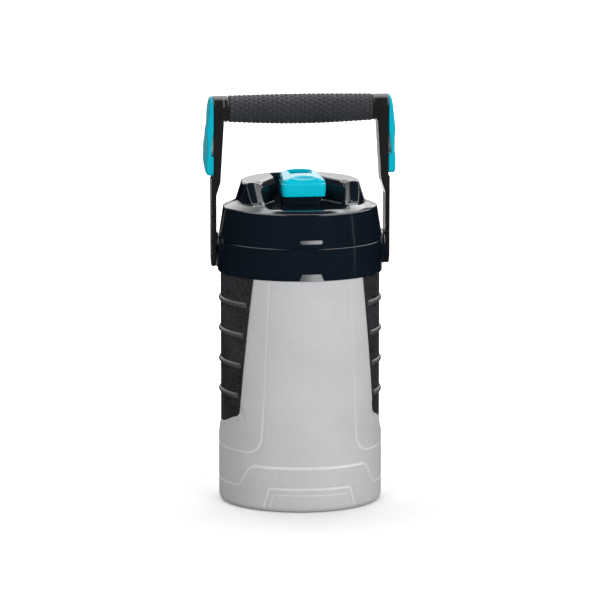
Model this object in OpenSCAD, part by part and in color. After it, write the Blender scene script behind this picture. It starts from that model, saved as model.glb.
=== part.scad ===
// Insulated half-gallon water jug with a screw lid, a flip-cap spout and a swinging bail handle.
// Origin: middle of the base, on the table. +Z is up, the front faces -Y, the handle pivots on X.

/* [Body] */
// Outer diameter of the silver body
body_d = 130; // [128:0.5:132]
// Height of the silver body, from the table to the collar
body_h = 185; // [180:1:188]
// Wall of the outer shell
shell_wall = 2.2; // [1.8:0.1:2.4]
// Radius of the rounded edge round the base
base_edge_r = 5; // [3:0.5:6]
// Width of the moulded styling grooves
groove_w = 1.6; // [1:0.2:2.4]
// Depth of the moulded styling grooves
groove_depth = 0.7; // [0.4:0.1:0.9]
// Height of the boot line across the front and back
boot_z = 37.5; // [34:0.5:40]
// Height of the boot line round the two sides
boot_side_z = 18.5; // [16:0.5:21]

/* [Liner] */
// Inside radius of the liner
liner_r = 54.5; // [53:0.5:55]
// Wall of the liner
liner_wall = 2; // [1.6:0.1:2.2]
// Height of the liner's floor above the table
liner_floor_z = 13.5; // [12:0.5:16]
// Outside radius of the threaded neck
neck_r = 55.6; // [55:0.1:56]
// Height of the neck's lip above the table
neck_top_z = 228; // [227:0.5:228.5]

/* [Thread] */
// Rise of the lid in one full turn
thread_lead = 8; // [7.5:0.5:8.5]
// Number of turns of the thread
thread_turns = 1.5; // [1.25:0.25:1.5]
// How far a thread ridge stands out
thread_depth = 1.5; // [1.3:0.1:1.6]
// Steps in one full turn of the thread
thread_steps = 40; // [24:4:48]

/* [Side grips] */
// Half width of a grip at its top
grip_top_half = 47.5; // [44:0.5:49]
// Half width of a grip at its bottom corners
grip_low_half = 36; // [32:0.5:38]
// Height of a grip's bottom corners
grip_corner_z = 72; // [70:1:76]
// How far the middle of a grip's lower edge drops below its corners
grip_drop = 7.5; // [4:0.5:9]
// How far a grip's face lies inside the body's outer face
grip_inset = 1.5; // [1:0.1:2]
// Thickness of a grip's rubber
grip_t = 1.6; // [1.2:0.1:1.8]
// Number of ribs on a grip
grip_ribs = 4; // [3:1:5]
// Height of one rib
rib_h = 4.6; // [3:0.2:6]
// Height of the lowest rib's middle
rib_low_z = 89.5; // [86:0.5:94]
// Height of the highest rib's middle
rib_top_z = 163; // [158:0.5:168]

/* [Collar] */
// Outside radius of the collar
collar_r = 65.8; // [65.6:0.1:66]
// Height of the seam between the collar and the lid
seam_z = 210.5; // [210:0.5:211]

/* [Lid] */
// Radius of the lid at its seam
lid_r = 65.3; // [65:0.1:65.4]
// Radius of the lid at its rim
rim_r = 61.7; // [61:0.1:62]
// Height of the lid's rim
rim_z = 237.4; // [237:0.2:238]
// Wall of the lid's shell
lid_wall = 2.2; // [1.8:0.1:2.3]
// Radius of the crown at its foot
crown_low_r = 52; // [51:0.5:53]
// Radius of the crown at its top
crown_top_r = 46.8; // [46:0.2:48]
// Height of the crown's foot
crown_low_z = 240.8; // [240.5:0.1:241]
// Height of the crown's top over the middle of the lid
crown_top_z = 257.2; // [255:0.2:258]
// Rise of the crown's top towards the back, in degrees
crown_tilt = 0.9; // [0:0.1:2.5]
// Half width of the channel that opens the crown to the front
channel_half = 31.5; // [30:0.5:32]
// How far in front of the lid's axis the channel's walls start to close in
pocket_front = 14; // [12:0.5:16]
// How far behind the lid's axis those walls reach the hinge notch
pocket_back = 11.3; // [10:0.1:13]

/* [Spout and cap] */
// Bore radius of the spout
spout_bore_r = 6; // [5:0.25:6.5]
// Outside radius of the spout's tube
spout_r = 9; // [8.5:0.25:9.5]
// How far the spout's axis lies in front of the lid's axis
spout_front = 6; // [5:0.5:7]
// Width of the flip cap at its front
cap_w = 36; // [35:0.5:38]
// Width of the flip cap at its back
cap_back_w = 31; // [30:0.5:34]
// How far the cap's front face lies in front of the lid's axis
cap_front = 26; // [25:0.5:28]
// Height of the cap's lower edge
cap_low_z = 246.4; // [246.3:0.1:246.8]
// Height of the cap's top at the front
cap_front_top_z = 261.8; // [260:0.2:262]
// Height of the cap's top at the back
cap_back_top_z = 265; // [263:0.2:266]
// Wall of the cap
cap_wall = 2.2; // [1.8:0.1:2.4]

/* [Handle] */
// Height of the handle's pivots
pivot_z = 202.5; // [201:0.5:203]
// Height of the bar's axis with the handle upright
bar_z = 314.2; // [312:0.5:316]
// Radius of the grip sleeve at its middle
sleeve_r = 11.4; // [11:0.1:12]
// Radius of the grip sleeve at its ends
sleeve_end_r = 10.5; // [10:0.1:11]
// Half length of the grip sleeve
sleeve_half = 57.4; // [55:0.5:58]
// Inner face of the lower strap, from the middle
strap_in = 67.6; // [67.5:0.1:68]
// Thickness of the lower strap
strap_t = 3.6; // [3.4:0.1:4]
// Half depth of the arms, front to back
arm_half = 8.5; // [8:0.5:9]

/* [Hooks] */
// Inner face of a hook, from the middle
hook_in = 70; // [69.9:0.1:70.2]
// Thickness of a hook at its foot
hook_foot_t = 5.6; // [5:0.1:6]
// Furthest reach of a hook towards the back
hook_back = 24; // [20:0.5:26]

/* [Hidden] */
$fn = 96;
eps = 0.02;
fit = 0.1;
run_fit = 0.06;
big = 200;
far = 80;
near = 20;
over = 5;
tall = 60;

body_r = body_d / 2;
cavity_r = body_r - shell_wall;
spigot_r = 62.6;
spigot_in_r = spigot_r - shell_wall;
spigot_top_z = 192;
spigot_low_z = body_h - 2;
cavity_top_z = body_h - 5;
foot_ring_in = 50;
foot_ring_edge = 1.5;
base_raise = 2;
shell_floor_z = base_raise + shell_wall;
floor_edge_r = base_edge_r - 1;
plug_r = 8;
plug_head_r = 11;
plug_head_z = 0.7;
plug_bevel = 0.8;

grip_face_r = body_r - grip_inset;
grip_pocket_r = grip_face_r - grip_t;
pocket_back_r = grip_pocket_r - shell_wall;
grip_edge_r = 7;
rib_inset = 5;

panel_top_half = 56.9;
panel_low_half = 52.9;
panel_low_z = 46.5;
panel_edge_r = 13;
boot_flat_half = 48.7;
boot_low_half = 36.3;
boot_steps = 10;
tab_top_half = 33.5;
tab_low_half = 38.2;
tab_top_z = 21;
tab_low_z = 3.5;
tab_frame = 3;
tab_depth = 0.6;

neck_in_r = 53.2;
shoulder_z = 205;
neck_z = 208.2;
liner_edge_r = 7;
thread_z = 213.5;
thread_rest_gap = thread_lead / 2;
thread_root_h = 4;
thread_tip_h = 2;
thread_sink = 0.4;

collar_wall_r = spigot_r + 0.15;
collar_top_t = 2.8;
collar_bevel = 1;
collar_draft = 0.3;
collar_gap = 0.4;
boss_r = 14;
boss_out = 67.2;
boss_in = 58.5;
boss_core_r = 6.3;
boss_bite = 0.5;
seam_gap = 0.2;
lid_gap = 0.5;
skirt_low_z = seam_z + seam_gap;
mark_half = 9.2;
mark_h = 3.2;
mark_z = 216.3;
mark_out = 0.6;
tongue_low_half = 10;
tongue_top_half = 7.5;
tongue_h = 5.6;
tongue_out = 0.7;

rim_edge_r = 2;
rim_edge_angle = 75;
lid_bevel = 0.5;
ceiling_z = 237.2;
ceiling_r = 50;
ceiling_edge_z = 234;
pocket_floor_z = 239.3;
chamfer_h = 4.4;
chamfer_w = 3.5;
chamfer_cut = 10;
chamfer_run = 36;
ramp_low_y = -31;
ramp_top_y = -14;
notch_half = 18.6;
notch_back = 40;

liner_lid_in = 57.7;
liner_lid_out = 59.6;
liner_lid_low_z = 212;
liner_lid_z = 230.8;
liner_lid_t = 2.2;
gasket_in = 52.6;
gasket_out = 55.8;
foam_inset = 1;

hinge_y = 15.5;
hinge_z = 250.6;
hinge_r = 4.2;
hinge_pin_r = 1.5;
barrel_half = 9.2;
barrel_web_low = 2;
barrel_web_h = 6;
lug_in = 9.6;
lug_t = 3.9;
cap_back = 10.6;
cap_corner_r = 4;
cap_edge_r = 3.5;
cap_end_over = 1;
thumb_floor_z = cap_back_top_z - 1.9;
thumb_back = 3.5;
thumb_front = -8;
thumb_back_half = 9.8;
thumb_front_half = 7.6;
spout_top_z = 257;
spout_low_z = 226.6;
spout_bevel = 1;
block_half = 14.2;
block_front = 23.5;
block_back = 9.5;
block_corner_r = 5;
block_top_z = 246;
nut_out_r = 13;
nut_gap = 0.6;
seal_out_r = 12.4;
seal_t = 1.4;
plug_seal_r = 5.3;
plug_seal_h = 2.2;
plug_seal_edge = 0.6;
plug_seal_gap = 0.35;

strap_out = strap_in + strap_t;
strap_low_z = pivot_z - 14;
step_low_z = 246;
step_top_z = 256.5;
arm_low_in = 64.3;
arm_top_in = 61.5;
arm_top_z = 303;
seat_low_z = 259;
seat_top_z = 261;
ferrule_r = 10.4;
core_r = 7.5;
core_half = 66;
sleeve_bevel = 1;
sleeve_steps = 12;
screw_r = 2;
screw_head_r = 3.6;
screw_len = 18;
screw_tip_gap = 1;
screw_sink = 2.4;
screw_head_t = 2;
screw_slot = 1;
pin_r = 4;
pin_head_r = 6.5;
pin_head_t = 1.5;
pin_tail = 0.5;
pin_slot = 1.4;

hook_end_r = 10.4;
hook_top_z = bar_z + hook_end_r;
hook_low_z = 262;
hook_front = -9;
hook_corner_r = 4;
hook_bevel = 1;
hook_top_t = 2.6;
hook_jaw_t = 5.4;
hook_spine_t = 4.9;
hook_slot_t = 1.8;
hook_slot_low_z = 277;
hook_slot_top_z = 297;
hook_bulge_z = 283;
hook_waist_angle = 50;
hook_waist_in = 7;
hook_waist_drop = 8;
hook_bulge_rise = 6;
hook_heel_angle = 80;
hook_blend = 3;
hook_steps = 8;

silver = [0.71, 0.72, 0.73];
navy = [0.05, 0.08, 0.12];
teal = [0, 0.72, 0.82];
rubber = [0.18, 0.17, 0.18];
slate = [0.22, 0.24, 0.26];
black = [0.09, 0.09, 0.1];
white = [0.93, 0.93, 0.91];
foam = [0.95, 0.9, 0.72];
steel = [0.7, 0.71, 0.73];

// Points of an arc about [x, y], from angle a to angle b
function arc(x, y, r, a, b, n = 6) =
    [for (i = [0:n]) let (t = a + (b - a) * i / n) [x + r * cos(t), y + r * sin(t)]];

// A smooth step from 0 to 1
function ease(t) = t * t * (3 - 2 * t);

// Points of a curve from a to d that leaves a towards b and reaches d from c, without a itself
function bezier(a, b, c, d, n) =
    [for (i = [1:n]) let (t = i / n, s = 1 - t)
        s * s * s * a + 3 * s * s * t * b + 3 * s * t * t * c + t * t * t * d];

// A (Y, Z) outline drawn out along X, from a to b
module along_x(a, b) {
    translate([a, 0, 0])
        rotate([90, 0, 90])
            linear_extrude(b - a)
                children();
}

// An (X, Z) outline drawn out along Y, from a to b
module along_y(a, b) {
    translate([0, b, 0])
        rotate([90, 0, 0])
            linear_extrude(b - a)
                children();
}

// A plain ring about Z
module ring(inner, outer, z0, z1) {
    translate([0, 0, z0])
        difference() {
            cylinder(r = outer, h = z1 - z0);
            translate([0, 0, -1])
                cylinder(r = inner, h = z1 - z0 + 2);
        }
}

// A cylinder along X between two stations
module rod_x(r, a, b, y, z) {
    translate([a, y, z])
        rotate([0, 90, 0])
            cylinder(r = r, h = b - a);
}

// A plain (X, Y) outline with round corners
module round_rect(x0, x1, y0, y1, r) {
    polygon(concat(
        arc(x1 - r, y1 - r, r, 0, 90),
        arc(x0 + r, y1 - r, r, 90, 180),
        arc(x0 + r, y0 + r, r, 180, 270),
        arc(x1 - r, y0 + r, r, 270, 360)));
}

// A helical ridge: its root lies on radius root and its tip on radius tip
module thread_ridge(root, tip, z) {
    steps = round(thread_steps * thread_turns);
    half = [thread_root_h / 2, thread_tip_h / 2];
    corners = [[root, -half[0]], [tip, -half[1]], [tip, half[1]], [root, half[0]]];
    order = tip > root ? [0, 1, 2, 3] : [3, 2, 1, 0];
    points = [for (i = [0:steps], k = order)
        let (a = 360 * i / thread_steps, c = corners[k])
            [c[0] * cos(a), c[0] * sin(a), z + thread_lead * i / thread_steps + c[1]]];
    sides = [for (i = [0:steps - 1], k = [0:3])
        let (n = (k + 1) % 4)
            each [[4 * i + k, 4 * i + n, 4 * i + 4 + n], [4 * i + k, 4 * i + 4 + n, 4 * i + 4 + k]]];
    ends = [[0, 3, 2], [0, 2, 1],
            [4 * steps, 4 * steps + 1, 4 * steps + 2], [4 * steps, 4 * steps + 2, 4 * steps + 3]];
    polyhedron(points = points, faces = concat(ends, sides), convexity = 6);
}

// Outline of a side grip, seen from the side, grown by g on every edge
module grip_outline(g) {
    low = grip_low_half + g;
    z0 = grip_corner_z - g;
    polygon(concat(
        [[grip_top_half + g, body_h + g], [-grip_top_half - g, body_h + g]],
        arc(-low + grip_edge_r, z0 + grip_edge_r, grip_edge_r, 180, 260),
        [for (i = [1:7]) let (t = i / 4 - 1)
            [(low - grip_edge_r) * t, z0 - grip_drop * cos(90 * t)]],
        arc(low - grip_edge_r, z0 + grip_edge_r, grip_edge_r, 280, 360)));
}

// The part of a ring that lies inside one side's grip outline, up to height top
module grip_field(side, inner, outer, g, top) {
    intersection() {
        ring(inner, outer, grip_corner_z - near, top);
        along_x(side > 0 ? near : -far, side > 0 ? far : -near)
            grip_outline(g);
    }
}

// Outline of a body side panel, seen from the side, grown by g
module panel_outline(g) {
    r = panel_edge_r + g;
    low = panel_low_half + g;
    polygon(concat(
        [[panel_top_half + g, body_h + over], [-panel_top_half - g, body_h + over]],
        arc(-low + r, panel_low_z - g + r, r, 180, 270),
        arc(low - r, panel_low_z - g + r, r, 270, 360)));
}

// The boot line seen from the side: low in the middle, high at the front and back
function boot_line(dz) = concat(
    [[-body_r - over, boot_z + dz]],
    [for (i = [0:boot_steps]) let (t = i / boot_steps)
        [-boot_flat_half + (boot_flat_half - boot_low_half) * t,
         boot_z + dz + (boot_side_z - boot_z) * ease(t)]],
    [for (i = [0:boot_steps]) let (t = i / boot_steps)
        [boot_low_half + (boot_flat_half - boot_low_half) * t,
         boot_side_z + dz + (boot_z - boot_side_z) * ease(t)]],
    [[body_r + over, boot_z + dz]]);

function reversed(list) = [for (i = [len(list) - 1:-1:0]) list[i]];

// Styling grooves: panel outlines on both sides and the boot line all round
module body_grooves() {
    half = groove_w / 2;
    intersection() {
        ring(body_r - groove_depth, body_r + over, base_raise, body_h);
        along_x(-far, far)
            union() {
                difference() {
                    panel_outline(half);
                    panel_outline(-half);
                }
                polygon(concat(boot_line(-half), reversed(boot_line(half))));
            }
    }
}

// Framed panel at the foot of the front and back
module foot_panel() {
    intersection() {
        ring(body_r - tab_depth, body_r + over, tab_low_z, tab_top_z);
        along_y(-far, -near)
            difference() {
                polygon([[-tab_low_half, tab_low_z], [tab_low_half, tab_low_z],
                         [tab_top_half, tab_top_z], [-tab_top_half, tab_top_z]]);
                polygon([[-tab_low_half + tab_frame, tab_low_z - over],
                         [tab_low_half - tab_frame, tab_low_z - over],
                         [tab_top_half - tab_frame, tab_top_z - tab_frame],
                         [-tab_top_half + tab_frame, tab_top_z - tab_frame]]);
            }
    }
}

// Silver outer body: a moulded shell with pockets for the grips
module outer_shell() {
    color(silver)
        difference() {
            union() {
                rotate_extrude()
                    polygon(concat(
                        [[plug_r, base_raise], [foot_ring_in, base_raise],
                         [foot_ring_in + foot_ring_edge, 0]],
                        arc(body_r - base_edge_r, base_edge_r, base_edge_r, 270, 360),
                        [[body_r, body_h - fit], [spigot_r, body_h - fit], [spigot_r, spigot_top_z],
                         [spigot_in_r, spigot_top_z], [spigot_in_r, spigot_low_z], [cavity_r, cavity_top_z]],
                        arc(cavity_r - floor_edge_r, shell_floor_z + floor_edge_r, floor_edge_r, 360, 270),
                        [[plug_r, shell_floor_z]]));
                for (side = [-1, 1])
                    grip_field(side, pocket_back_r, cavity_r + shell_wall / 2, shell_wall - fit,
                               body_h - fit);
            }
            for (side = [-1, 1])
                grip_field(side, grip_pocket_r, body_r + over, fit / 2, body_h);
            body_grooves();
            foot_panel();
            rotate(180)
                foot_panel();
        }
}

// Insulating foam between the shell and the liner
module foam_core() {
    color(foam)
        difference() {
            rotate_extrude()
                polygon(concat(
                    [[0, shell_floor_z + fit]],
                    arc(cavity_r - floor_edge_r - fit, shell_floor_z + floor_edge_r + fit,
                        floor_edge_r, 270, 360),
                    [[cavity_r - fit, cavity_top_z - 2 * fit], [spigot_in_r - fit, spigot_low_z - 2 * fit],
                     [spigot_in_r - fit, spigot_top_z], [collar_wall_r - fit, spigot_top_z + fit],
                     [collar_wall_r - fit, seam_z - collar_top_t - fit],
                     [neck_r + 2 * fit, seam_z - collar_top_t - fit], [neck_r + 2 * fit, neck_z],
                     [liner_r + liner_wall + 2 * fit, shoulder_z]],
                    arc(liner_r + liner_wall - liner_edge_r + 2 * fit,
                        liner_floor_z - liner_wall + liner_edge_r - 2 * fit, liner_edge_r, 360, 270),
                    [[0, liner_floor_z - liner_wall - 2 * fit]]));
            for (side = [-1, 1])
                grip_field(side, pocket_back_r - fit, body_r + over, shell_wall, body_h);
            for (side = [-1, 1])
                scale([side, 1, 1])
                    rod_x(boss_core_r + fit, boss_in - fit, body_r + over, 0, pivot_z);
        }
}

// White liner: the cup that holds the water, with its threaded neck
module inner_liner() {
    color(white)
        union() {
            rotate_extrude()
                polygon(concat(
                    [[0, liner_floor_z - liner_wall]],
                    arc(liner_r + liner_wall - liner_edge_r, liner_floor_z - liner_wall + liner_edge_r,
                        liner_edge_r, 270, 360),
                    [[liner_r + liner_wall, shoulder_z], [neck_r, neck_z], [neck_r, neck_top_z],
                     [neck_in_r, neck_top_z], [neck_in_r, neck_z], [liner_r, shoulder_z]],
                    arc(liner_r - liner_edge_r + liner_wall, liner_floor_z + liner_edge_r - liner_wall,
                        liner_edge_r - liner_wall, 360, 270),
                    [[0, liner_floor_z]]));
            thread_ridge(neck_r - thread_sink, neck_r + thread_depth, thread_z);
        }
}

// Plug in the hole through which the foam is poured
module base_plug() {
    color(silver)
        rotate_extrude()
            polygon([[0, plug_head_z], [plug_head_r - plug_bevel, plug_head_z],
                     [plug_head_r, plug_head_z + plug_bevel],
                     [plug_head_r, base_raise - eps], [plug_r - fit, base_raise - eps],
                     [plug_r - fit, shell_floor_z], [0, shell_floor_z]]);
}

// Rubber side grip with its cross ribs
module side_grip(side) {
    color(rubber)
        union() {
            grip_field(side, grip_pocket_r + eps, grip_face_r, -fit, body_h - fit);
            for (i = [0:grip_ribs - 1]) {
                z = rib_low_z + (rib_top_z - rib_low_z) * i / (grip_ribs - 1);
                intersection() {
                    grip_field(side, grip_face_r - grip_t / 2, body_r, -rib_inset, body_h);
                    rotate_extrude()
                        polygon([[grip_pocket_r, z - rib_h / 2], [grip_face_r, z - rib_h / 2],
                                 [body_r, z - rib_h / 4], [body_r, z + rib_h / 4],
                                 [grip_face_r, z + rib_h / 2], [grip_pocket_r, z + rib_h / 2]]);
                }
            }
        }
}

module left_grip() side_grip(-1);
module right_grip() side_grip(1);

// Navy collar with the two pivot bosses
module collar() {
    color(navy)
        difference() {
            union() {
                rotate_extrude()
                    polygon([[collar_wall_r, body_h], [collar_r - collar_draft, body_h],
                             [collar_r, body_h + collar_bevel],
                             [collar_r - collar_draft, seam_z - collar_bevel],
                             [collar_r - collar_bevel, seam_z], [neck_r + collar_gap, seam_z],
                             [neck_r + collar_gap, seam_z - collar_top_t],
                             [collar_wall_r, seam_z - collar_top_t]]);
                for (side = [-1, 1])
                    scale([side, 1, 1]) {
                        difference() {
                            rod_x(boss_r, boss_in, boss_out, 0, pivot_z);
                            cylinder(r = collar_wall_r + boss_bite, h = seam_z - boss_bite);
                            translate([0, 0, seam_z - eps])
                                cylinder(r = lid_r + lid_gap, h = boss_r);
                        }
                        rod_x(boss_core_r, boss_in, collar_wall_r + boss_bite, 0, pivot_z);
                    }
                for (turn = [0, 180])
                    rotate(turn)
                        collar_tongue();
            }
            for (side = [-1, 1])
                scale([side, 1, 1])
                    rod_x(pin_r, boss_in - over, boss_out + over, 0, pivot_z);
        }
}

// Raised tongue at the middle of the collar's lower edge
module collar_tongue() {
    intersection() {
        ring(collar_wall_r + boss_bite, collar_r + tongue_out, body_h, body_h + tongue_h);
        along_y(-far, -near)
            polygon([[-tongue_low_half, body_h], [tongue_low_half, body_h],
                     [tongue_top_half, body_h + tongue_h], [-tongue_top_half, body_h + tongue_h]]);
    }
}

// Shoulder pin that carries one arm of the handle
module pivot_pin(side) {
    color(black)
        scale([side, 1, 1])
            union() {
                rod_x(pin_r, boss_in + pin_tail, strap_out - pin_head_t + eps, 0, pivot_z);
                difference() {
                    rod_x(pin_head_r, strap_out - pin_head_t, strap_out, 0, pivot_z);
                    translate([strap_out - pin_slot / 2, -pin_head_r, pivot_z - pin_slot / 2])
                        cube([over, 2 * pin_head_r, pin_slot]);
                }
            }
}

module left_pivot_pin() pivot_pin(-1);
module right_pivot_pin() pivot_pin(1);

// One arm of the handle: a thin strap below, a thick arm above with a round socket for the bar
module handle_arm(side) {
    color(black)
        scale([side, 1, 1])
            difference() {
                union() {
                    intersection() {
                        along_y(-near, near)
                            polygon([[strap_in, strap_low_z], [strap_in, step_low_z],
                                     [arm_low_in, step_top_z], [arm_top_in, arm_top_z],
                                     [arm_top_in, hook_top_z], [hook_in, hook_top_z], [hook_in, seat_top_z],
                                     [strap_out, seat_low_z], [strap_out, strap_low_z]]);
                        along_x(near, far)
                            union() {
                                translate([0, bar_z])
                                    circle(r = ferrule_r);
                                polygon(concat(
                                    [[arm_half, bar_z], [-arm_half, bar_z]],
                                    arc(0, strap_low_z + arm_half, arm_half, 180, 360, 12)));
                            }
                    }
                    rod_x(ferrule_r, sleeve_half + fit, hook_in, 0, bar_z);
                }
                rod_x(core_r + eps, sleeve_half - over, core_half + eps, 0, bar_z);
                rod_x(screw_r + fit, core_half - over, hook_in + over, 0, bar_z);
                rod_x(screw_head_r + fit, hook_in - screw_sink, hook_in + over, 0, bar_z);
                rod_x(pin_r + run_fit, strap_in - over, strap_out + over, 0, pivot_z);
                rod_x(pin_head_r + run_fit, strap_out - pin_head_t - fit, strap_out + over, 0, pivot_z);
            }
}

module left_arm() handle_arm(-1);
module right_arm() handle_arm(1);

// Stiff bar inside the grip sleeve
module grip_core() {
    color(black)
        difference() {
            rod_x(core_r, -core_half, core_half, 0, bar_z);
            for (side = [-1, 1])
                scale([side, 1, 1])
                    rod_x(screw_r, core_half - screw_len, core_half + over, 0, bar_z);
        }
}

// Rubber sleeve over the bar, a little fuller at its middle
module grip_sleeve() {
    color(slate)
        translate([0, 0, bar_z])
            rotate([0, 90, 0])
                rotate_extrude()
                    polygon(concat(
                        [[core_r + eps, -sleeve_half], [sleeve_end_r - sleeve_bevel, -sleeve_half]],
                        [for (i = [0:sleeve_steps]) let (t = 2 * i / sleeve_steps - 1)
                            [sleeve_end_r + (sleeve_r - sleeve_end_r) * cos(90 * t),
                             t * (sleeve_half - sleeve_bevel)]],
                        [[sleeve_end_r - sleeve_bevel, sleeve_half], [core_r + eps, sleeve_half]]));
}

// Screws that hold the arms to the bar, hidden under the hooks
module core_screws() {
    head = hook_in - screw_sink + fit;
    color(steel)
        for (side = [-1, 1])
            scale([side, 1, 1])
                difference() {
                    union() {
                        rod_x(screw_r, core_half - screw_len + screw_tip_gap, head + eps, 0, bar_z);
                        rod_x(screw_head_r, head, head + screw_head_t, 0, bar_z);
                    }
                    translate([head + screw_head_t - screw_slot, -screw_slot / 2, bar_z - screw_head_r])
                        cube([over, screw_slot, 2 * screw_head_r]);
                }
}

// Fence hook on the outer face of one arm
module fence_hook(side) {
    foot = hook_in + hook_foot_t;
    jaw = hook_in + hook_jaw_t;
    spine = hook_in + hook_spine_t;
    tip = hook_in + hook_top_t;
    color(teal)
        scale([side, 1, 1])
            intersection() {
                along_y(-far, far)
                    polygon([[hook_in + eps, hook_low_z], [foot - hook_bevel, hook_low_z],
                             [foot, hook_low_z + 2 * hook_bevel], [foot, hook_slot_low_z - hook_blend],
                             [spine, hook_slot_low_z + hook_blend], [spine, hook_slot_top_z - 2 * hook_blend],
                             [jaw, hook_slot_top_z], [tip, hook_top_z - hook_blend],
                             [tip - hook_bevel, hook_top_z], [hook_in + eps, hook_top_z],
                             [hook_in + eps, hook_slot_top_z],
                             [hook_in + hook_slot_t, hook_slot_low_z + 2 * hook_blend],
                             [hook_in + hook_slot_t, hook_slot_low_z + hook_bevel],
                             [hook_in + eps, hook_slot_low_z]]);
                along_x(near, far)
                    hook_profile();
            }
}

// Side view of a hook: a round end over the bar, a waist, and a lower part that swells out to the back
module hook_profile() {
    waist = [hook_end_r * cos(hook_waist_angle), bar_z - hook_end_r * sin(hook_waist_angle)];
    polygon(concat(
        arc(0, bar_z, hook_end_r, 180, -hook_waist_angle, 2 * hook_steps),
        bezier(waist, waist - [hook_waist_in, hook_waist_drop],
               [hook_back, hook_bulge_z + hook_bulge_rise], [hook_back, hook_bulge_z], hook_steps),
        [for (i = [1:hook_steps]) let (t = hook_heel_angle * i / hook_steps)
            [hook_front + (hook_back - hook_front) * cos(t),
             hook_bulge_z - (hook_bulge_z - hook_low_z) * sin(t)]],
        arc(hook_front + hook_corner_r, hook_low_z + hook_corner_r, hook_corner_r, 270, 180)));
}

module left_hook() fence_hook(-1);
module right_hook() fence_hook(1);

// Plan of the crown's front channel, its closing walls and its hinge notch, grown by g
module pocket_plan(g) {
    polygon([[-channel_half - g, -far], [channel_half + g, -far], [channel_half + g, -pocket_front],
             [notch_half + g, pocket_back], [notch_half + g, notch_back + g], [-notch_half - g, notch_back + g],
             [-notch_half - g, pocket_back], [-channel_half - g, -pocket_front]]);
}

// Space taken by the crown's pocket, with the chamfers along its closing walls, grown by g
module crown_pocket(g) {
    wall_turn = atan2(channel_half - notch_half, pocket_front + pocket_back);
    translate([0, 0, pocket_floor_z - g])
        linear_extrude(tall)
            pocket_plan(g);
    for (side = [-1, 1])
        scale([side, 1, 1])
            translate([channel_half + g, -pocket_front, crown_top_z - chamfer_h])
                rotate([0, 0, wall_turn])
                    rotate([0, atan2(chamfer_w, chamfer_h), 0])
                        translate([-chamfer_cut, -chamfer_cut, 0])
                            cube([chamfer_cut, chamfer_cut + chamfer_run, tall]);
}

// Solid crown with sloping horns at the front, drawn in by g on every face, down to height low
module crown_body(g, low) {
    rise = crown_top_z - crown_low_z;
    slope = atan2(rise, ramp_top_y - ramp_low_y);
    difference() {
        translate([0, 0, crown_low_z])
            rotate_extrude()
                polygon([[0, low - crown_low_z], [crown_low_r - g, low - crown_low_z], [crown_low_r - g, 0],
                         [crown_top_r - g - (crown_low_r - crown_top_r) * over / rise, rise + over],
                         [0, rise + over]]);
        crown_pocket(g);
        translate([0, 0, crown_top_z - g])
            rotate([crown_tilt, 0, 0])
                translate([-big / 2, -big / 2, 0])
                    cube([big, big, tall]);
        translate([0, ramp_low_y, crown_low_z - g])
            rotate([slope, 0, 0])
                translate([-big / 2, -big / 2, 0])
                    cube([big, big, tall]);
    }
}

// Navy lid: tapered skirt, sloping deck and horseshoe crown
module lid_shell() {
    color(navy)
        difference() {
            union() {
                rotate_extrude()
                    polygon(concat(
                        [[lid_r - lid_wall, skirt_low_z], [lid_r - lid_bevel, skirt_low_z],
                         [lid_r, skirt_low_z + lid_bevel]],
                        arc(rim_r - rim_edge_r, rim_z - rim_edge_r, rim_edge_r, 0, rim_edge_angle),
                        [[crown_low_r, crown_low_z], [0, crown_low_z], [0, ceiling_z], [ceiling_r, ceiling_z],
                         [liner_lid_out + lid_gap, ceiling_edge_z]]));
                crown_body(0, ceiling_z + lid_gap);
                lid_mark();
            }
            crown_hollow();
            crown_pocket(0);
            spout_hole();
        }
        hinge_lugs();
}

// Hole for the spout's tube through the lid
module spout_hole() {
    translate([0, -spout_front, skirt_low_z])
        cylinder(r = spout_r + fit, h = tall);
}

// Hollow under the crown, open to the lid's inside
module crown_hollow() {
    difference() {
        crown_body(lid_wall, ceiling_z - over);
        linear_extrude(2 * big, center = true)
            pocket_plan(lid_wall - fit);
    }
}

// Raised alignment mark low on the front of the lid
module lid_mark() {
    r = mark_h / 2;
    taper = (lid_r - rim_r) * (mark_z - skirt_low_z) / (rim_z - rim_edge_r - skirt_low_z);
    intersection() {
        ring(lid_r - lid_wall, lid_r - taper + mark_out, mark_z - mark_h, mark_z + mark_h);
        along_y(-far, -near)
            round_rect(-mark_half, mark_half, mark_z - r, mark_z + r, r - eps);
    }
}

// Lugs that carry the cap's hinge pin
module hinge_lugs() {
    color(navy)
        for (side = [-1, 1])
            scale([side, 1, 1])
                difference() {
                    along_x(lug_in, lug_in + lug_t)
                        union() {
                            translate([hinge_y, hinge_z])
                                circle(r = hinge_r);
                            translate([hinge_y - hinge_r, pocket_floor_z - lid_gap])
                                square([2 * hinge_r, hinge_z - pocket_floor_z + lid_gap]);
                        }
                    rod_x(hinge_pin_r, lug_in - over, lug_in + lug_t + over, hinge_y, hinge_z);
                }
}

// Insulation disc inside the lid
module lid_foam() {
    low = liner_lid_z + liner_lid_t + fit;
    color(foam)
        difference() {
            rotate_extrude()
                polygon([[0, low], [liner_lid_out - foam_inset, low],
                         [liner_lid_out - foam_inset, ceiling_edge_z - lid_gap],
                         [ceiling_r - lid_gap, ceiling_z - fit], [0, ceiling_z - fit]]);
            spout_hole();
        }
}

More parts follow.
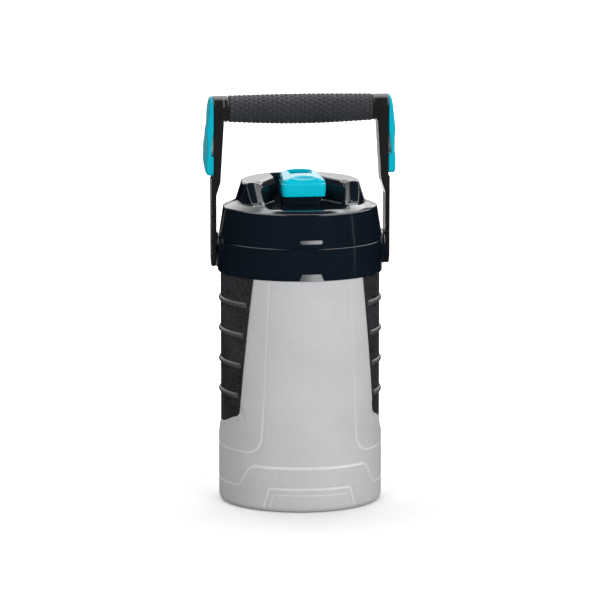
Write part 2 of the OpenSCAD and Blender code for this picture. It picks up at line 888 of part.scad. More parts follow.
// Inner part of the lid with the thread that runs on the neck
module lid_liner() {
    color(white)
        difference() {
            union() {
                rotate_extrude()
                    polygon([[0, liner_lid_z], [liner_lid_in, liner_lid_z], [liner_lid_in, liner_lid_low_z],
                             [liner_lid_out, liner_lid_low_z], [liner_lid_out, liner_lid_z + liner_lid_t],
                             [0, liner_lid_z + liner_lid_t]]);
                thread_ridge(liner_lid_in + thread_sink, liner_lid_in - thread_depth,
                             thread_z + thread_rest_gap);
            }
            spout_hole();
        }
}

// Soft ring that seals the lid on the neck's lip
module lid_gasket() {
    color(rubber)
        ring(gasket_in, gasket_out, neck_top_z + fit, liner_lid_z - eps);
}

// Spout: a tube with a block that sits in the crown's pocket
module spout() {
    color(navy)
        difference() {
            union() {
                translate([0, 0, pocket_floor_z + eps])
                    linear_extrude(block_top_z - pocket_floor_z)
                        round_rect(-block_half, block_half, -block_front, block_back, block_corner_r);
                translate([0, -spout_front, 0])
                    rotate_extrude()
                        polygon([[0, spout_low_z], [spout_r, spout_low_z],
                                 [spout_r, spout_top_z - spout_bevel],
                                 [spout_r - spout_bevel, spout_top_z], [0, spout_top_z]]);
            }
            translate([0, -spout_front, spout_low_z - over])
                cylinder(r = spout_bore_r, h = tall);
        }
}

// Washer between the spout's nut and the lid's inner part
module spout_seal() {
    color(rubber)
        translate([0, -spout_front, 0])
            ring(spout_r + eps, seal_out_r, liner_lid_z - seal_t, liner_lid_z - eps);
}

// Nut that clamps the spout from below
module spout_nut() {
    low = spout_low_z + nut_gap;
    color(white)
        translate([0, -spout_front, low])
            difference() {
                cylinder(r = nut_out_r, h = liner_lid_z - seal_t - eps - low, $fn = 6);
                cylinder(r = spout_r + eps, h = tall, center = true);
            }
}

// Plan view of the cap, drawn in by g
module cap_plan(g) {
    r = cap_corner_r - g;
    front_x = cap_w / 2 - cap_corner_r;
    back_x = cap_back_w / 2 - cap_corner_r;
    front_y = cap_corner_r - cap_front;
    back_y = cap_back - cap_corner_r;
    polygon(concat(
        arc(back_x, back_y, r, 0, 90),
        arc(-back_x, back_y, r, 90, 180),
        arc(-front_x, front_y, r, 180, 270),
        arc(front_x, front_y, r, 270, 360)));
}

// Side view of the cap, drawn in by g at the top
module cap_side(g, low) {
    top_slope = atan2(cap_back_top_z - cap_front_top_z, cap_front + cap_back);
    polygon(concat(
        [[-cap_front - cap_end_over, low], [cap_back + cap_end_over, low]],
        arc(cap_back - cap_edge_r + cap_end_over, cap_back_top_z - cap_edge_r - g,
            cap_edge_r, 0, 90 + top_slope),
        arc(-cap_front + cap_edge_r - cap_end_over, cap_front_top_z - cap_edge_r - g,
            cap_edge_r, 90 + top_slope, 180)));
}

// Front view of the cap, drawn in by g at the top and sides
module cap_face(g, low) {
    half = cap_w / 2 - g;
    polygon(concat(
        [[-half, low], [half, low]],
        arc(half - cap_edge_r, cap_back_top_z - cap_edge_r - g, cap_edge_r, 0, 90),
        arc(-half + cap_edge_r, cap_back_top_z - cap_edge_r - g, cap_edge_r, 90, 180)));
}

// Rounded block of the cap, drawn in by g, with its lower face at low
module cap_block(g, low) {
    intersection() {
        translate([0, 0, low])
            linear_extrude(tall)
                cap_plan(g);
        along_x(-near, near)
            cap_side(g, low);
        along_y(-far, far)
            cap_face(g, low);
    }
}

// Teal flip cap with its hinge barrel
module flip_cap() {
    color(teal)
        difference() {
            union() {
                difference() {
                    cap_block(0, cap_low_z);
                    cap_block(cap_wall, cap_low_z - over);
                }
                rod_x(hinge_r, -barrel_half, barrel_half, hinge_y, hinge_z);
                translate([-barrel_half, cap_back - cap_wall / 2, hinge_z - barrel_web_low])
                    cube([2 * barrel_half, hinge_y - cap_back + cap_wall / 2, barrel_web_h]);
            }
            rod_x(hinge_pin_r + run_fit, -barrel_half - over, barrel_half + over, hinge_y, hinge_z);
            cap_thumb_recess();
        }
}

// Shallow finger recess in the cap's top
module cap_thumb_recess() {
    translate([0, 0, thumb_floor_z])
        linear_extrude(over)
            polygon([[-thumb_back_half, thumb_back], [thumb_back_half, thumb_back],
                     [thumb_front_half, thumb_front], [-thumb_front_half, thumb_front]]);
}

// Soft plug in the cap that closes the spout
module cap_seal() {
    color(rubber)
        translate([0, -spout_front, 0])
            rotate_extrude()
                polygon([[0, spout_top_z - plug_seal_h],
                         [plug_seal_r - plug_seal_edge, spout_top_z - plug_seal_h],
                         [plug_seal_r, spout_top_z - plug_seal_edge],
                         [plug_seal_r, spout_top_z + plug_seal_gap],
                         [spout_r - plug_seal_edge, spout_top_z + plug_seal_gap],
                         [spout_r - plug_seal_edge, cap_seal_top()], [0, cap_seal_top()]]);
}

// The seal's flat top stops just under the cap's roof at the seal's front edge
function cap_seal_top() =
    cap_front_top_z - cap_wall - fit + (cap_back_top_z - cap_front_top_z)
    * (cap_front - spout_front - spout_r) / (cap_front + cap_back);

// Pin of the cap's hinge
module cap_hinge_pin() {
    color(steel)
        rod_x(hinge_pin_r, -lug_in - lug_t + 2 * fit, lug_in + lug_t - 2 * fit, hinge_y, hinge_z);
}

outer_shell();
foam_core();
inner_liner();
base_plug();
left_grip();
right_grip();
collar();
left_pivot_pin();
right_pivot_pin();
left_arm();
right_arm();
grip_core();
grip_sleeve();
core_screws();
left_hook();
right_hook();
lid_shell();
lid_foam();
lid_liner();
lid_gasket();
spout();
spout_seal();
spout_nut();
flip_cap();
cap_seal();
cap_hinge_pin();
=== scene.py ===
"""Looks of an insulated water jug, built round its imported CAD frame.

Sizes are in millimetres and meshes in metres, in the frame's own axes: +Z up, the front towards -Y and the handle's
pivots on X. Moulded pieces are solids described by signed distances and meshed on a grid; turned pieces are
profiles spun about the jug's axis.
"""

import logging
import math
from collections.abc import Callable, Sequence
from dataclasses import dataclass, replace
from enum import Enum
from itertools import product

import bpy
import numpy as np
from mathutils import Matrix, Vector


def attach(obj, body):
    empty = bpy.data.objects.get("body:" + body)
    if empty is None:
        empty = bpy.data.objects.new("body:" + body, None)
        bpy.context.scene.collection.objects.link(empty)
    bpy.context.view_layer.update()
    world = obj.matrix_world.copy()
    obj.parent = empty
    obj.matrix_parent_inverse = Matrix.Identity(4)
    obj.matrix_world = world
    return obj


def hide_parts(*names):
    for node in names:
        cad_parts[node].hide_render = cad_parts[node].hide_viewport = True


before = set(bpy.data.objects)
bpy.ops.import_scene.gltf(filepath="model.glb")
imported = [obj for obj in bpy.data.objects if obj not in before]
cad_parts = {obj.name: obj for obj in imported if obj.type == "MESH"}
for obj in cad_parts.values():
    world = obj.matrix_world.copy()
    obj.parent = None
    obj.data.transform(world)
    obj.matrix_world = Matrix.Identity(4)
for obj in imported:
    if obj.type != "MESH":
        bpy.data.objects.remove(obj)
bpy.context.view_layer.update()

LOG = logging.getLogger("jug")
MM = 0.001
BAR = 314.2  # Height of the handle bar's axis.
PIVOT = 202.5  # Height of the handle's pivots.
HINGE = (15.5, 250.6)  # Y and height of the cap's hinge.
Array = np.ndarray
Pair = tuple[float, float]
Point = tuple[float, float, float]
Places = Sequence[Array]
Shape = Callable[[Places], Array]
Socket = bpy.types.NodeSocket
Inputs = dict[int | str, object]
Piece = bpy.types.Object


class Body(Enum):
    """Bodies of the CAD frame that carry the made pieces."""

    JUG = "jug"
    HANDLE = "handle"
    LID = "lid"
    CAP = "cap"


class Side(Enum):
    """The two sides of the jug, by the sign of X."""

    LEFT = -1
    RIGHT = 1

    def called(self, thing: str) -> str:
        """Name of a thing on this side."""
        return f"{self.name.lower()}_{thing}"


def soft_max(a: Array, b: Array, k: float) -> Array:
    """Largest of two distances, rounded where they meet; k is about 1.2 times the radius."""
    near = np.maximum(k - np.abs(a - b), 0.0) / k
    return np.maximum(a, b) + near * near * k * 0.25


def soft_min(a: Array, b: Array, k: float) -> Array:
    """Smallest of two distances, rounded in the same way."""
    return -soft_max(-a, -b, k)


def ease(t: Array) -> Array:
    """Smooth step from 0 to 1, held at its ends."""
    t = np.clip(t, 0.0, 1.0)
    return t * t * (3.0 - 2.0 * t)


def between(ends: Pair, share: Array) -> Array:
    """Values at a share of the way from one end to the other."""
    return ends[0] + (ends[1] - ends[0]) * share


def line_distance(u: Array, v: Array, a: Pair, b: Pair) -> Array:
    """Distance from places u, v to the line from a to b, positive on its right."""
    length = math.hypot(b[0] - a[0], b[1] - a[1])
    return ((u - a[0]) * (b[1] - a[1]) - (v - a[1]) * (b[0] - a[0])) / length


def outline_distance(u: Array, v: Array, corners: Sequence[Pair]) -> Array:
    """Signed distance to a closed outline.

    Args:
        u: First coordinates.
        v: Second coordinates.
        corners: Corners of the outline, in order.

    Returns:
        Distances, negative inside.
    """
    u, v = np.broadcast_arrays(np.asarray(u, float), np.asarray(v, float))
    nearest = np.full(u.shape, np.inf)
    inside = np.zeros(u.shape, bool)
    for a, b in zip(corners, [*corners[1:], corners[0]]):
        du, dv = b[0] - a[0], b[1] - a[1]
        along = np.clip(((u - a[0]) * du + (v - a[1]) * dv) / (du * du + dv * dv), 0.0, 1.0)
        nearest = np.minimum(nearest, (u - a[0] - along * du) ** 2 + (v - a[1] - along * dv) ** 2)
        if dv != 0.0:
            inside ^= ((a[1] > v) != (b[1] > v)) & (u < a[0] + (v - a[1]) * du / dv)
    return np.where(inside, -1.0, 1.0) * np.sqrt(nearest)


def box_distance(across: Array, along: Array, corner: float) -> Array:
    """Distance to a rectangle with rounded corners, from the distances past its sides and its ends."""
    a, b = across + corner, along + corner
    return np.hypot(np.maximum(a, 0.0), np.maximum(b, 0.0)) + np.minimum(np.maximum(a, b), 0.0) - corner


def arc(centre: Pair, radius: float, start: float, end: float, steps: int) -> list[Pair]:
    """Points of an arc in a plane, from one angle in degrees to another, ends included."""
    angles = np.radians(np.linspace(start, end, steps + 1))
    return [(centre[0] + radius * math.cos(t), centre[1] + radius * math.sin(t)) for t in angles]


def rounded(corners: Sequence[Pair], radius: float, steps: int) -> list[Pair]:
    """An open profile with its inner corners rounded.

    Args:
        corners: Corners of the profile, in order.
        radius: Radius of the corners, less where a side is too short for it.
        steps: Steps along each rounded corner.

    Returns:
        Points of the rounded profile.
    """
    points = [tuple(corners[0])]
    for a, b, c in zip(corners, corners[1:], corners[2:]):
        a, b, c = (np.array(p, float) for p in (a, b, c))
        before, after = (a - b) / np.linalg.norm(a - b), (c - b) / np.linalg.norm(c - b)
        turn = math.acos(float(np.clip(before @ after, -1.0, 1.0))) / 2.0
        reach = min(radius / math.tan(turn), 0.45 * np.linalg.norm(a - b), 0.45 * np.linalg.norm(c - b))
        for t in np.linspace(0.0, 1.0, steps + 1):
            p = (1 - t) ** 2 * (b + before * reach) + 2 * t * (1 - t) * b + t * t * (b + after * reach)
            points.append((float(p[0]), float(p[1])))
    return [*points, tuple(corners[-1])]


@dataclass
class Skin:
    """A mesh in millimetres.

    Attributes:
        points: Places of the points, one row each.
        faces: Four point numbers for each face.
        normals: Outward direction at each point.
        shade: Share at each point of the finish's painted highlight and of its satin, if it has any.
    """

    points: Array
    faces: Array
    normals: Array
    shade: Array | None = None

    @classmethod
    def from_grid(cls, points: Array, wrap: bool) -> "Skin":
        """Faces and normals for a grid of points.

        Args:
            points: Grid of rows by columns by three.
            wrap: True if the last column joins the first.

        Returns:
            The skin, which faces the side from which columns run to the right as rows go up.
        """
        rows, columns = points.shape[:2]
        padded = np.concatenate([points[:, -1:], points, points[:, :1]], 1) if wrap else points
        across = np.gradient(padded, axis=1)
        across = across[:, 1:-1] if wrap else across
        normals = np.cross(across, np.gradient(points, axis=0)).reshape(-1, 3)
        normals /= np.maximum(np.linalg.norm(normals, axis=1, keepdims=True), 1e-12)
        r, c = np.meshgrid(np.arange(rows - 1), np.arange(columns if wrap else columns - 1), indexing="ij")
        low, high, right = r * columns, (r + 1) * columns, (c + 1) % columns
        faces = np.stack([low + c, low + right, high + right, high + c], -1)
        return cls(points.reshape(-1, 3), faces.reshape(-1, 4), normals)

    @classmethod
    def turned(cls, profile: Sequence[Pair], columns: int) -> "Skin":
        """A profile spun about the jug's axis.

        Args:
            profile: Points as radius and height, going up on the outer face.
            columns: Number of columns round the axis.

        Returns:
            The skin.
        """
        angles = np.linspace(0.0, 2.0 * math.pi, columns, endpoint=False)
        radius, height = np.array(profile, float).T
        grid = np.stack([np.outer(radius, np.cos(angles)), np.outer(radius, np.sin(angles)),
                         np.repeat(height[:, None], columns, 1)], -1)
        return cls.from_grid(grid, True)

    def joined(self, *others: "Skin") -> "Skin":
        """This skin and others as one.

        Args:
            others: Skins to add.

        Returns:
            One skin that holds them all.
        """
        skins = [self, *others]
        starts = np.cumsum([0] + [len(s.points) for s in skins[:-1]])
        return Skin(np.concatenate([s.points for s in skins]),
                    np.concatenate([s.faces + n for s, n in zip(skins, starts)]),
                    np.concatenate([s.normals for s in skins]))

    def on(self, side: Side) -> "Skin":
        """This skin, which is made for the right, on one side of the jug.

        Args:
            side: Side of the jug.

        Returns:
            The skin, mirrored if it is for the left.
        """
        if side is Side.RIGHT:
            return self
        flip = np.array([-1.0, 1.0, 1.0])
        return Skin(self.points * flip, self.faces[:, ::-1], self.normals * flip)

    def kept(self, keep: Array) -> "Skin":
        """Only the faces whose corners are all kept.

        Args:
            keep: One flag for each point.

        Returns:
            The smaller skin.
        """
        faces = self.faces[keep[self.faces].all(1)]
        used, places = np.unique(faces, return_inverse=True)
        return Skin(self.points[used], places.reshape(faces.shape), self.normals[used])

    def to_object(self, name: str) -> Piece:
        """A Blender object with this mesh.

        Args:
            name: Name of the object and its mesh.

        Returns:
            The object, at the origin.
        """
        mesh = bpy.data.meshes.new(name)
        mesh.from_pydata((self.points * MM).tolist(), [], self.faces.tolist())
        mesh.polygons.foreach_set("use_smooth", np.ones(len(mesh.polygons), bool))
        mesh.normals_split_custom_set_from_vertices(self.normals.tolist())
        if self.shade is not None:
            shade = mesh.attributes.new("shade", "FLOAT", "POINT")
            shade.data.foreach_set("value", self.shade.ravel().astype(np.float32))
        made = bpy.data.objects.new(name, mesh)
        bpy.context.scene.collection.objects.link(made)
        return made


@dataclass(frozen=True)
class Moulding:
    """A solid given by a signed distance, and the grid that it is meshed on.

    Attributes:
        shape: Distance in millimetres at given places, negative inside.
        low: Lowest corner of the grid.
        high: Highest corner of the grid.
        step: Edge of one cell of the grid.
    """

    shape: Shape
    low: Point
    high: Point
    step: float

    def skin(self) -> Skin:
        """The solid's surface, one point in each cell that it passes.

        Returns:
            The skin, with its points settled on the surface.
        """
        axes = [np.arange(a, b + self.step, self.step) for a, b in zip(self.low, self.high)]
        values = self.shape(np.meshgrid(*axes, indexing="ij", sparse=True))
        values = np.ascontiguousarray(np.broadcast_to(values, [len(a) for a in axes]))
        inside = values < 0.0
        corners = sum(inside[tuple(slice(i, i + n - 1) for i, n in zip(corner, inside.shape))].astype(np.int8)
                      for corner in product((0, 1), repeat=3))
        mixed = (corners > 0) & (corners < 8)
        cells = np.argwhere(mixed)
        numbers = np.full(mixed.shape, -1, np.int64)
        numbers[mixed] = np.arange(len(cells))
        points = self._crossings(values, cells)
        points, normals = self._settled(points * self.step + np.array(self.low))
        return Skin(points, self._faces(inside, numbers), normals)

    @staticmethod
    def _crossings(values: Array, cells: Array) -> Array:
        """Mean place where the surface crosses the edges of each cell.

        Args:
            values: Distances on the grid.
            cells: Cells that the surface passes.

        Returns:
            Places, in cells.
        """
        total, hits = np.zeros(cells.shape), np.zeros(len(cells))
        for axis, a, b in product(range(3), (0, 1), (0, 1)):
            start = cells.copy()
            start[:, (axis + 1) % 3] += a
            start[:, (axis + 2) % 3] += b
            end = start.copy()
            end[:, axis] += 1
            v0, v1 = values[tuple(start.T)], values[tuple(end.T)]
            found = (v0 < 0.0) != (v1 < 0.0)
            place = start[found].astype(float)
            place[:, axis] += v0[found] / (v0[found] - v1[found])
            total[found] += place
            hits[found] += 1
        return total / hits[:, None]

    def _settled(self, points: Array) -> tuple[Array, Array]:
        """Moves points on to the surface.

        Args:
            points: Points near the surface.

        Returns:
            The moved points and the surface's outward directions there.
        """
        reach, moves = 0.03, 3
        for turn in range(moves + 1):
            slope = np.stack([self.shape((points + reach * e).T) - self.shape((points - reach * e).T)
                              for e in np.eye(3)], -1) / (2.0 * reach)
            steep = np.maximum(np.linalg.norm(slope, axis=1, keepdims=True), 0.2)
            if turn < moves:
                move = self.shape(points.T)[:, None] * slope / steep**2
                points = points - np.clip(move, -self.step, self.step)
        return points, slope / steep

    @staticmethod
    def _faces(inside: Array, numbers: Array) -> Array:
        """Faces across the grid edges that the surface crosses.

        Args:
            inside: True at grid points inside the solid.
            numbers: Number of each cell's point, or -1.

        Returns:
            Four point numbers for each face.
        """
        faces = []
        for axis in range(3):
            u, v = (axis + 1) % 3, (axis + 2) % 3
            first = np.take(inside, range(inside.shape[axis] - 1), axis)
            second = np.take(inside, range(1, inside.shape[axis]), axis)
            edges = np.argwhere(first != second)
            clear = [(edges[:, i] > 0) & (edges[:, i] < inside.shape[i] - 1) for i in (u, v)]
            edges = edges[clear[0] & clear[1]]
            ring = []
            for du, dv in ((0, 0), (-1, 0), (-1, -1), (0, -1)):
                cell = edges.copy()
                cell[:, u] += du
                cell[:, v] += dv
                ring.append(numbers[tuple(cell.T)])
            quads = np.stack(ring, -1)
            faces.append(np.where(first[tuple(edges.T)][:, None], quads, quads[:, ::-1]))
        return np.concatenate(faces)


class Tree:
    """A node tree that is filled node by node."""

    def __init__(self, tree: bpy.types.NodeTree) -> None:
        """Takes the tree to fill."""
        self.tree = tree

    def add(self, kind: str, values: Inputs | None = None, **settings: object) -> bpy.types.Node:
        """Adds a node.

        Args:
            kind: Type of the node.
            values: Constant or linked value of each input.
            settings: Properties of the node.

        Returns:
            The node.
        """
        node = self.tree.nodes.new(kind)
        for name, value in settings.items():
            setattr(node, name, value)
        for name, value in (values or {}).items():
            if isinstance(value, Socket):
                self.tree.links.new(value, node.inputs[name])
            else:
                node.inputs[name].default_value = value
        return node

    def get(self, kind: str, values: Inputs | None = None, **settings: object) -> Socket:
        """Adds a node as add does, and gives its first output."""
        return self.add(kind, values, **settings).outputs[0]

    def sum(self, operation: str, *values: object) -> Socket:
        """Adds a sum of the named kind and gives its result."""
        return self.get("ShaderNodeMath", dict(enumerate(values)), operation=operation)

    def parts(self, vector: Socket) -> bpy.types.NodeOutputs:
        """Splits a vector into its parts along X, Y and Z."""
        return self.add("ShaderNodeSeparateXYZ", {0: vector}).outputs


class Graph(Tree):
    """Node tree of a material or a world."""

    def __init__(self, owner: bpy.types.Material | bpy.types.World) -> None:
        """Empties the owner's tree.

        Args:
            owner: Material or world whose tree is filled.
        """
        owner.use_nodes = True
        super().__init__(owner.node_tree)
        self.tree.nodes.clear()

    def noise(self, vector: Socket, scale: float, detail: float = 3.0) -> Socket:
        """Adds a noise texture, with its scale in features per metre, and gives its value."""
        return self.get("ShaderNodeTexNoise", {"Vector": vector, "Scale": scale, "Detail": detail})

    def span(self, value: Socket, source: Pair, target: Pair = (0.0, 1.0), smooth: bool = False) -> Socket:
        """Maps a value from one range to another.

        Args:
            value: Value to map.
            source: Range that it comes from.
            target: Range that it goes to.
            smooth: True to ease in and out.

        Returns:
            The mapped value.
        """
        return self.get("ShaderNodeMapRange", {"Value": value, "From Min": source[0], "From Max": source[1],
                                               "To Min": target[0], "To Max": target[1]},
                        interpolation_type="SMOOTHSTEP" if smooth else "LINEAR")

    def mix(self, factor: Socket, a: Socket | Point, b: Point) -> Socket:
        """Mixes a colour, or the output that gives one, with a second colour."""
        first = a if isinstance(a, Socket) else (*a, 1.0)
        return self.add("ShaderNodeMix", {0: factor, 6: first, 7: (*b, 1.0)}, data_type="RGBA").outputs[2]

    def shader(self, factor: Socket, a: Socket, b: Socket) -> Socket:
        """Mixes two shaders."""
        return self.get("ShaderNodeMixShader", {0: factor, 1: a, 2: b})


class Grain(Enum):
    """Kinds of fine relief."""

    CLOUDY = "noise, as on moulded plastic"
    PEBBLES = "rounded pebbles, as on moulded rubber"
    FLAKES = "flakes, as in silver paint"


@dataclass(frozen=True)
class Finish:
    """A surface finish with a cloudy tint and a fine relief.

    Attributes:
        name: Name of the material.
        slot: The record's slot that it belongs to; not used.
        dark: Darker tint.
        light: Lighter tint.
        rough: Lowest and highest roughness.
        grain: Grains in one metre.
        relief: Height of the grains, in millimetres.
        kind: Kind of the grains.
        metallic: Share of metal.
        coat: Share of clear coat.
        specular: Strength of plain reflections.
        stretch: How the grains are squeezed along each axis.
        fade: Places along X, in metres, between which the dark tint gives way to the light one, as a painted
            reflection.
        painted_highlight: Lighter tint painted in with the piece's shade as a highlight, and the shade from which it
            starts.
        satin: Roughness that the piece's shade brings, in full from half of the shade on.
    """

    name: str
    slot: str
    dark: Point
    light: Point
    rough: Pair
    grain: float = 900.0
    relief: float = 0.02
    kind: Grain = Grain.CLOUDY
    metallic: float = 0.0
    coat: float = 0.0
    specular: float = 0.5
    stretch: Point = (1.0, 1.0, 1.0)
    fade: Pair | None = None
    painted_highlight: tuple[Point, float] | None = None
    satin: float = 0.0

    def height(self, graph: Graph, vector: Socket) -> Socket:
        """Relief of the grains, from 0 to 1.

        Args:
            graph: Tree to add to.
            vector: Place on the piece.

        Returns:
            The height.
        """
        if self.kind is Grain.CLOUDY:
            return graph.noise(vector, self.grain)
        cells = graph.add("ShaderNodeTexVoronoi", {"Vector": vector, "Scale": self.grain}).outputs
        if self.kind is Grain.PEBBLES:
            return graph.span(cells["Distance"], (0.0, 0.7), (1.0, 0.0))
        grey = graph.get("ShaderNodeSeparateColor", {"Color": cells["Color"]})
        fine = graph.span(graph.noise(vector, self.grain * 0.3), (0.2, 0.8), (0.0, 0.65))
        return graph.sum("MULTIPLY_ADD", grey, 0.35, fine)

    @staticmethod
    def shade(graph: Graph, source: Pair, target: Pair = (0.0, 1.0)) -> Socket:
        """Shade of the piece, mapped from one range to another."""
        return graph.span(graph.add("ShaderNodeAttribute", attribute_name="shade").outputs["Fac"], source, target)

    def tint(self, graph: Graph, share: Socket, place: Socket) -> Socket:
        """Colour of the finish.

        Args:
            graph: Tree to add to.
            share: Share of the lighter tint.
            place: Place on the piece.

        Returns:
            The colour.
        """
        # Painted reflection: the tint grows lighter along X.
        if self.fade is not None:
            fade = graph.span(graph.parts(place)[0], self.fade, (0.0, 0.85), True)
            share = graph.sum("MULTIPLY_ADD", share, 0.15, fade)
        plain = graph.mix(share, self.dark, self.light)
        # Painted highlight, brought in where the piece's shade is high.
        if self.painted_highlight is None:
            return plain
        tint, start = self.painted_highlight
        return graph.mix(self.shade(graph, (start, 1.0)), plain, tint)

    def material(self) -> bpy.types.Material:
        """Makes the material, or finds it if it was made before.

        Returns:
            The material.
        """
        known = bpy.data.materials.get(self.name)
        if known is not None:
            return known
        made = bpy.data.materials.new(self.name)
        graph = Graph(made)
        place = graph.add("ShaderNodeTexCoord").outputs["Object"]
        height = self.height(graph, graph.get("ShaderNodeMapping", {"Vector": place, "Scale": self.stretch}))
        cloud = graph.span(graph.noise(place, 22.0, 2.0), (0.3, 0.7), (0.0, 0.35))
        rough = graph.span(height, (0.25, 0.75), self.rough)
        if self.satin:
            rough = graph.sum("MAXIMUM", rough, self.shade(graph, (0.0, 0.5), (0.0, self.satin)))
        bump = {"Height": height, "Strength": 1.0, "Distance": self.relief * MM}
        surface = graph.get("ShaderNodeBsdfPrincipled", {
            "Base Color": self.tint(graph, graph.sum("MULTIPLY_ADD", height, 0.65, cloud), place),
            "Roughness": rough, "Metallic": self.metallic, "Coat Weight": self.coat, "Coat Roughness": 0.08,
            "Specular IOR Level": self.specular, "Normal": graph.get("ShaderNodeBump", bump)})
        graph.add("ShaderNodeOutputMaterial", {"Surface": surface})
        return made


# Painted highlight: the body's lines get the lighter tint, standing in for light caught along their edges.
SILVER = Finish("silver_satin", "silver_body", (0.49, 0.495, 0.505), (0.61, 0.615, 0.625), (0.42, 0.55), 1500.0, 0.006,
                Grain.FLAKES, metallic=0.15, painted_highlight=((0.7, 0.7, 0.705), 0.0))
FOAM = Finish("cream_foam", "insulation", (0.72, 0.64, 0.42), (0.9, 0.82, 0.58), (0.8, 0.95), 700.0, 0.2, Grain.PEBBLES)
WHITE = Finish("liner_satin", "liner_white", (0.78, 0.78, 0.76), (0.86, 0.86, 0.84), (0.3, 0.42), relief=0.004)
GRIP = Finish("grip_pebbled", "grip_rubber", (0.002, 0.0019, 0.0024), (0.06, 0.057, 0.066), (0.62, 0.8), 700.0, 0.2,
              Grain.PEBBLES, specular=0.2)
RIB = Finish("rib_satin", "grip_rubber", (0.045, 0.043, 0.045), (0.085, 0.08, 0.085), (0.34, 0.48), relief=0.01)
NAVY = Finish("navy_polish", "navy_gloss", (0.0042, 0.0078, 0.0135), (0.0056, 0.0098, 0.0165), (0.1, 0.14), 500.0,
              0.0012, coat=0.25)
# Painted highlight: the lid's bevel strips are tinted a lighter grey; the pocket's walls only get satin.
LID_NAVY = replace(NAVY, name="navy_lid", painted_highlight=((0.06, 0.061, 0.065), 0.5), satin=0.45)
BLACK = Finish("black_satin", "arm_black", (0.009, 0.009, 0.0095), (0.017, 0.017, 0.018), (0.15, 0.22), 1100.0, 0.004)
SLEEVE = Finish("sleeve_pebbled", "sleeve_rubber", (0.02, 0.0215, 0.024), (0.062, 0.064, 0.07), (0.55, 0.72), 1100.0,
                0.08, Grain.PEBBLES, specular=0.3)
TEAL = Finish("teal_polish", "teal_gloss", (0.0, 0.49, 0.64), (0.0, 0.55, 0.71), (0.13, 0.16), 600.0, 0.0004, coat=0.2)
HOOK = Finish("teal_satin", "teal_gloss", (0.0, 0.35, 0.46), (0.0, 0.4, 0.52), (0.3, 0.38), 600.0, 0.0004,
              specular=0.12)
SEAL = Finish("seal_silicone", "seal_rubber", (0.3, 0.31, 0.31), (0.42, 0.43, 0.43), (0.45, 0.6), relief=0.01)
STEEL = Finish("steel_drawn", "pin_steel", (0.5, 0.51, 0.53), (0.62, 0.63, 0.65), (0.22, 0.4), 2500.0, 0.006,
               metallic=1.0, stretch=(0.05, 1.0, 1.0))
# Painted reflection: navy marks tinted pale, darker towards -X and lighter towards +X.
REFLECTION_MARK = Finish("mark_painted_reflection", "navy_gloss", (0.07, 0.075, 0.085), (0.29, 0.3, 0.31), (0.2, 0.3), relief=0.003, coat=0.2,
              fade=(-0.009, 0.004))


def dress(piece: Piece, body: Body, finish: Finish, *nodes: str) -> Piece:
    """Gives a piece its finish and its body, and hides the CAD nodes that it stands for.

    Args:
        piece: Piece in its place.
        body: Body that it moves with.
        finish: Its finish.
        nodes: CAD nodes that it stands for.

    Returns:
        The piece.
    """
    piece.data.materials.clear()
    piece.data.materials.append(finish.material())
    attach(piece, body.value)
    if nodes:
        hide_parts(*nodes)
    LOG.info("%s: %d faces on %s for %s", piece.name, len(piece.data.polygons), body.value, ", ".join(nodes) or "-")
    return piece


class Growth(Tree):
    """A Geometry Nodes tree with named inputs that grows one piece.

    Attributes:
        inputs: Name and kind of each input; each tree also takes its finish.
    """

    inputs: tuple[tuple[str, str], ...] = ()

    def __init__(self, name: str) -> None:
        """Builds the tree.

        Args:
            name: Name of the tree.
        """
        super().__init__(bpy.data.node_groups.new(name, "GeometryNodeTree"))
        for label, kind in (*self.inputs, ("Finish", "Material")):
            self.tree.interface.new_socket(label, in_out="INPUT", socket_type=f"NodeSocket{kind}")
        self.tree.interface.new_socket("Grown", in_out="OUTPUT", socket_type="NodeSocketGeometry")
        self.given = self.add("NodeGroupInput").outputs
        solid = self.get("GeometryNodeRealizeInstances", {"Geometry": self.grow()})
        smooth = self.get("GeometryNodeSetShadeSmooth", {"Geometry": solid})
        dressed = self.get("GeometryNodeSetMaterial", {"Geometry": smooth, "Material": self.given["Finish"]})
        self.add("NodeGroupOutput", {0: dressed})

    def grow(self) -> Socket:
        """Fills the tree and gives the grown geometry."""
        raise NotImplementedError

    def vector(self, *parts: object) -> Socket:
        """Joins values along X, Y and Z."""
        return self.get("ShaderNodeCombineXYZ", dict(enumerate(parts)))

    def copies(self, points: Socket, kind: Socket, **values: object) -> Socket:
        """Sets a copy of one mesh on each point of another, turned and scaled as the values say."""
        return self.get("GeometryNodeInstanceOnPoints", {"Points": points, "Instance": kind, **values})

    def grown(self, name: str, values: dict[str, object], finish: Finish) -> Piece:
        """Runs the tree and keeps its mesh.

        Args:
            name: Name of the piece.
            values: Value of each named input.
            finish: Finish of the piece.

        Returns:
            The piece, with a plain mesh and no modifier.
        """
        made = bpy.data.objects.new(name, bpy.data.meshes.new(name))
        bpy.context.scene.collection.objects.link(made)
        modifier = made.modifiers.new("Growth", "NODES")
        modifier.node_group = self.tree
        for item in self.tree.interface.items_tree:
            if item.in_out == "INPUT":
                modifier[item.identifier] = finish.material() if item.name == "Finish" else values[item.name]
        mesh = bpy.data.meshes.new_from_object(made.evaluated_get(bpy.context.evaluated_depsgraph_get()))
        made.modifiers.clear()
        blank, made.data = made.data, mesh
        bpy.data.meshes.remove(blank)
        mesh.name = name
        return made


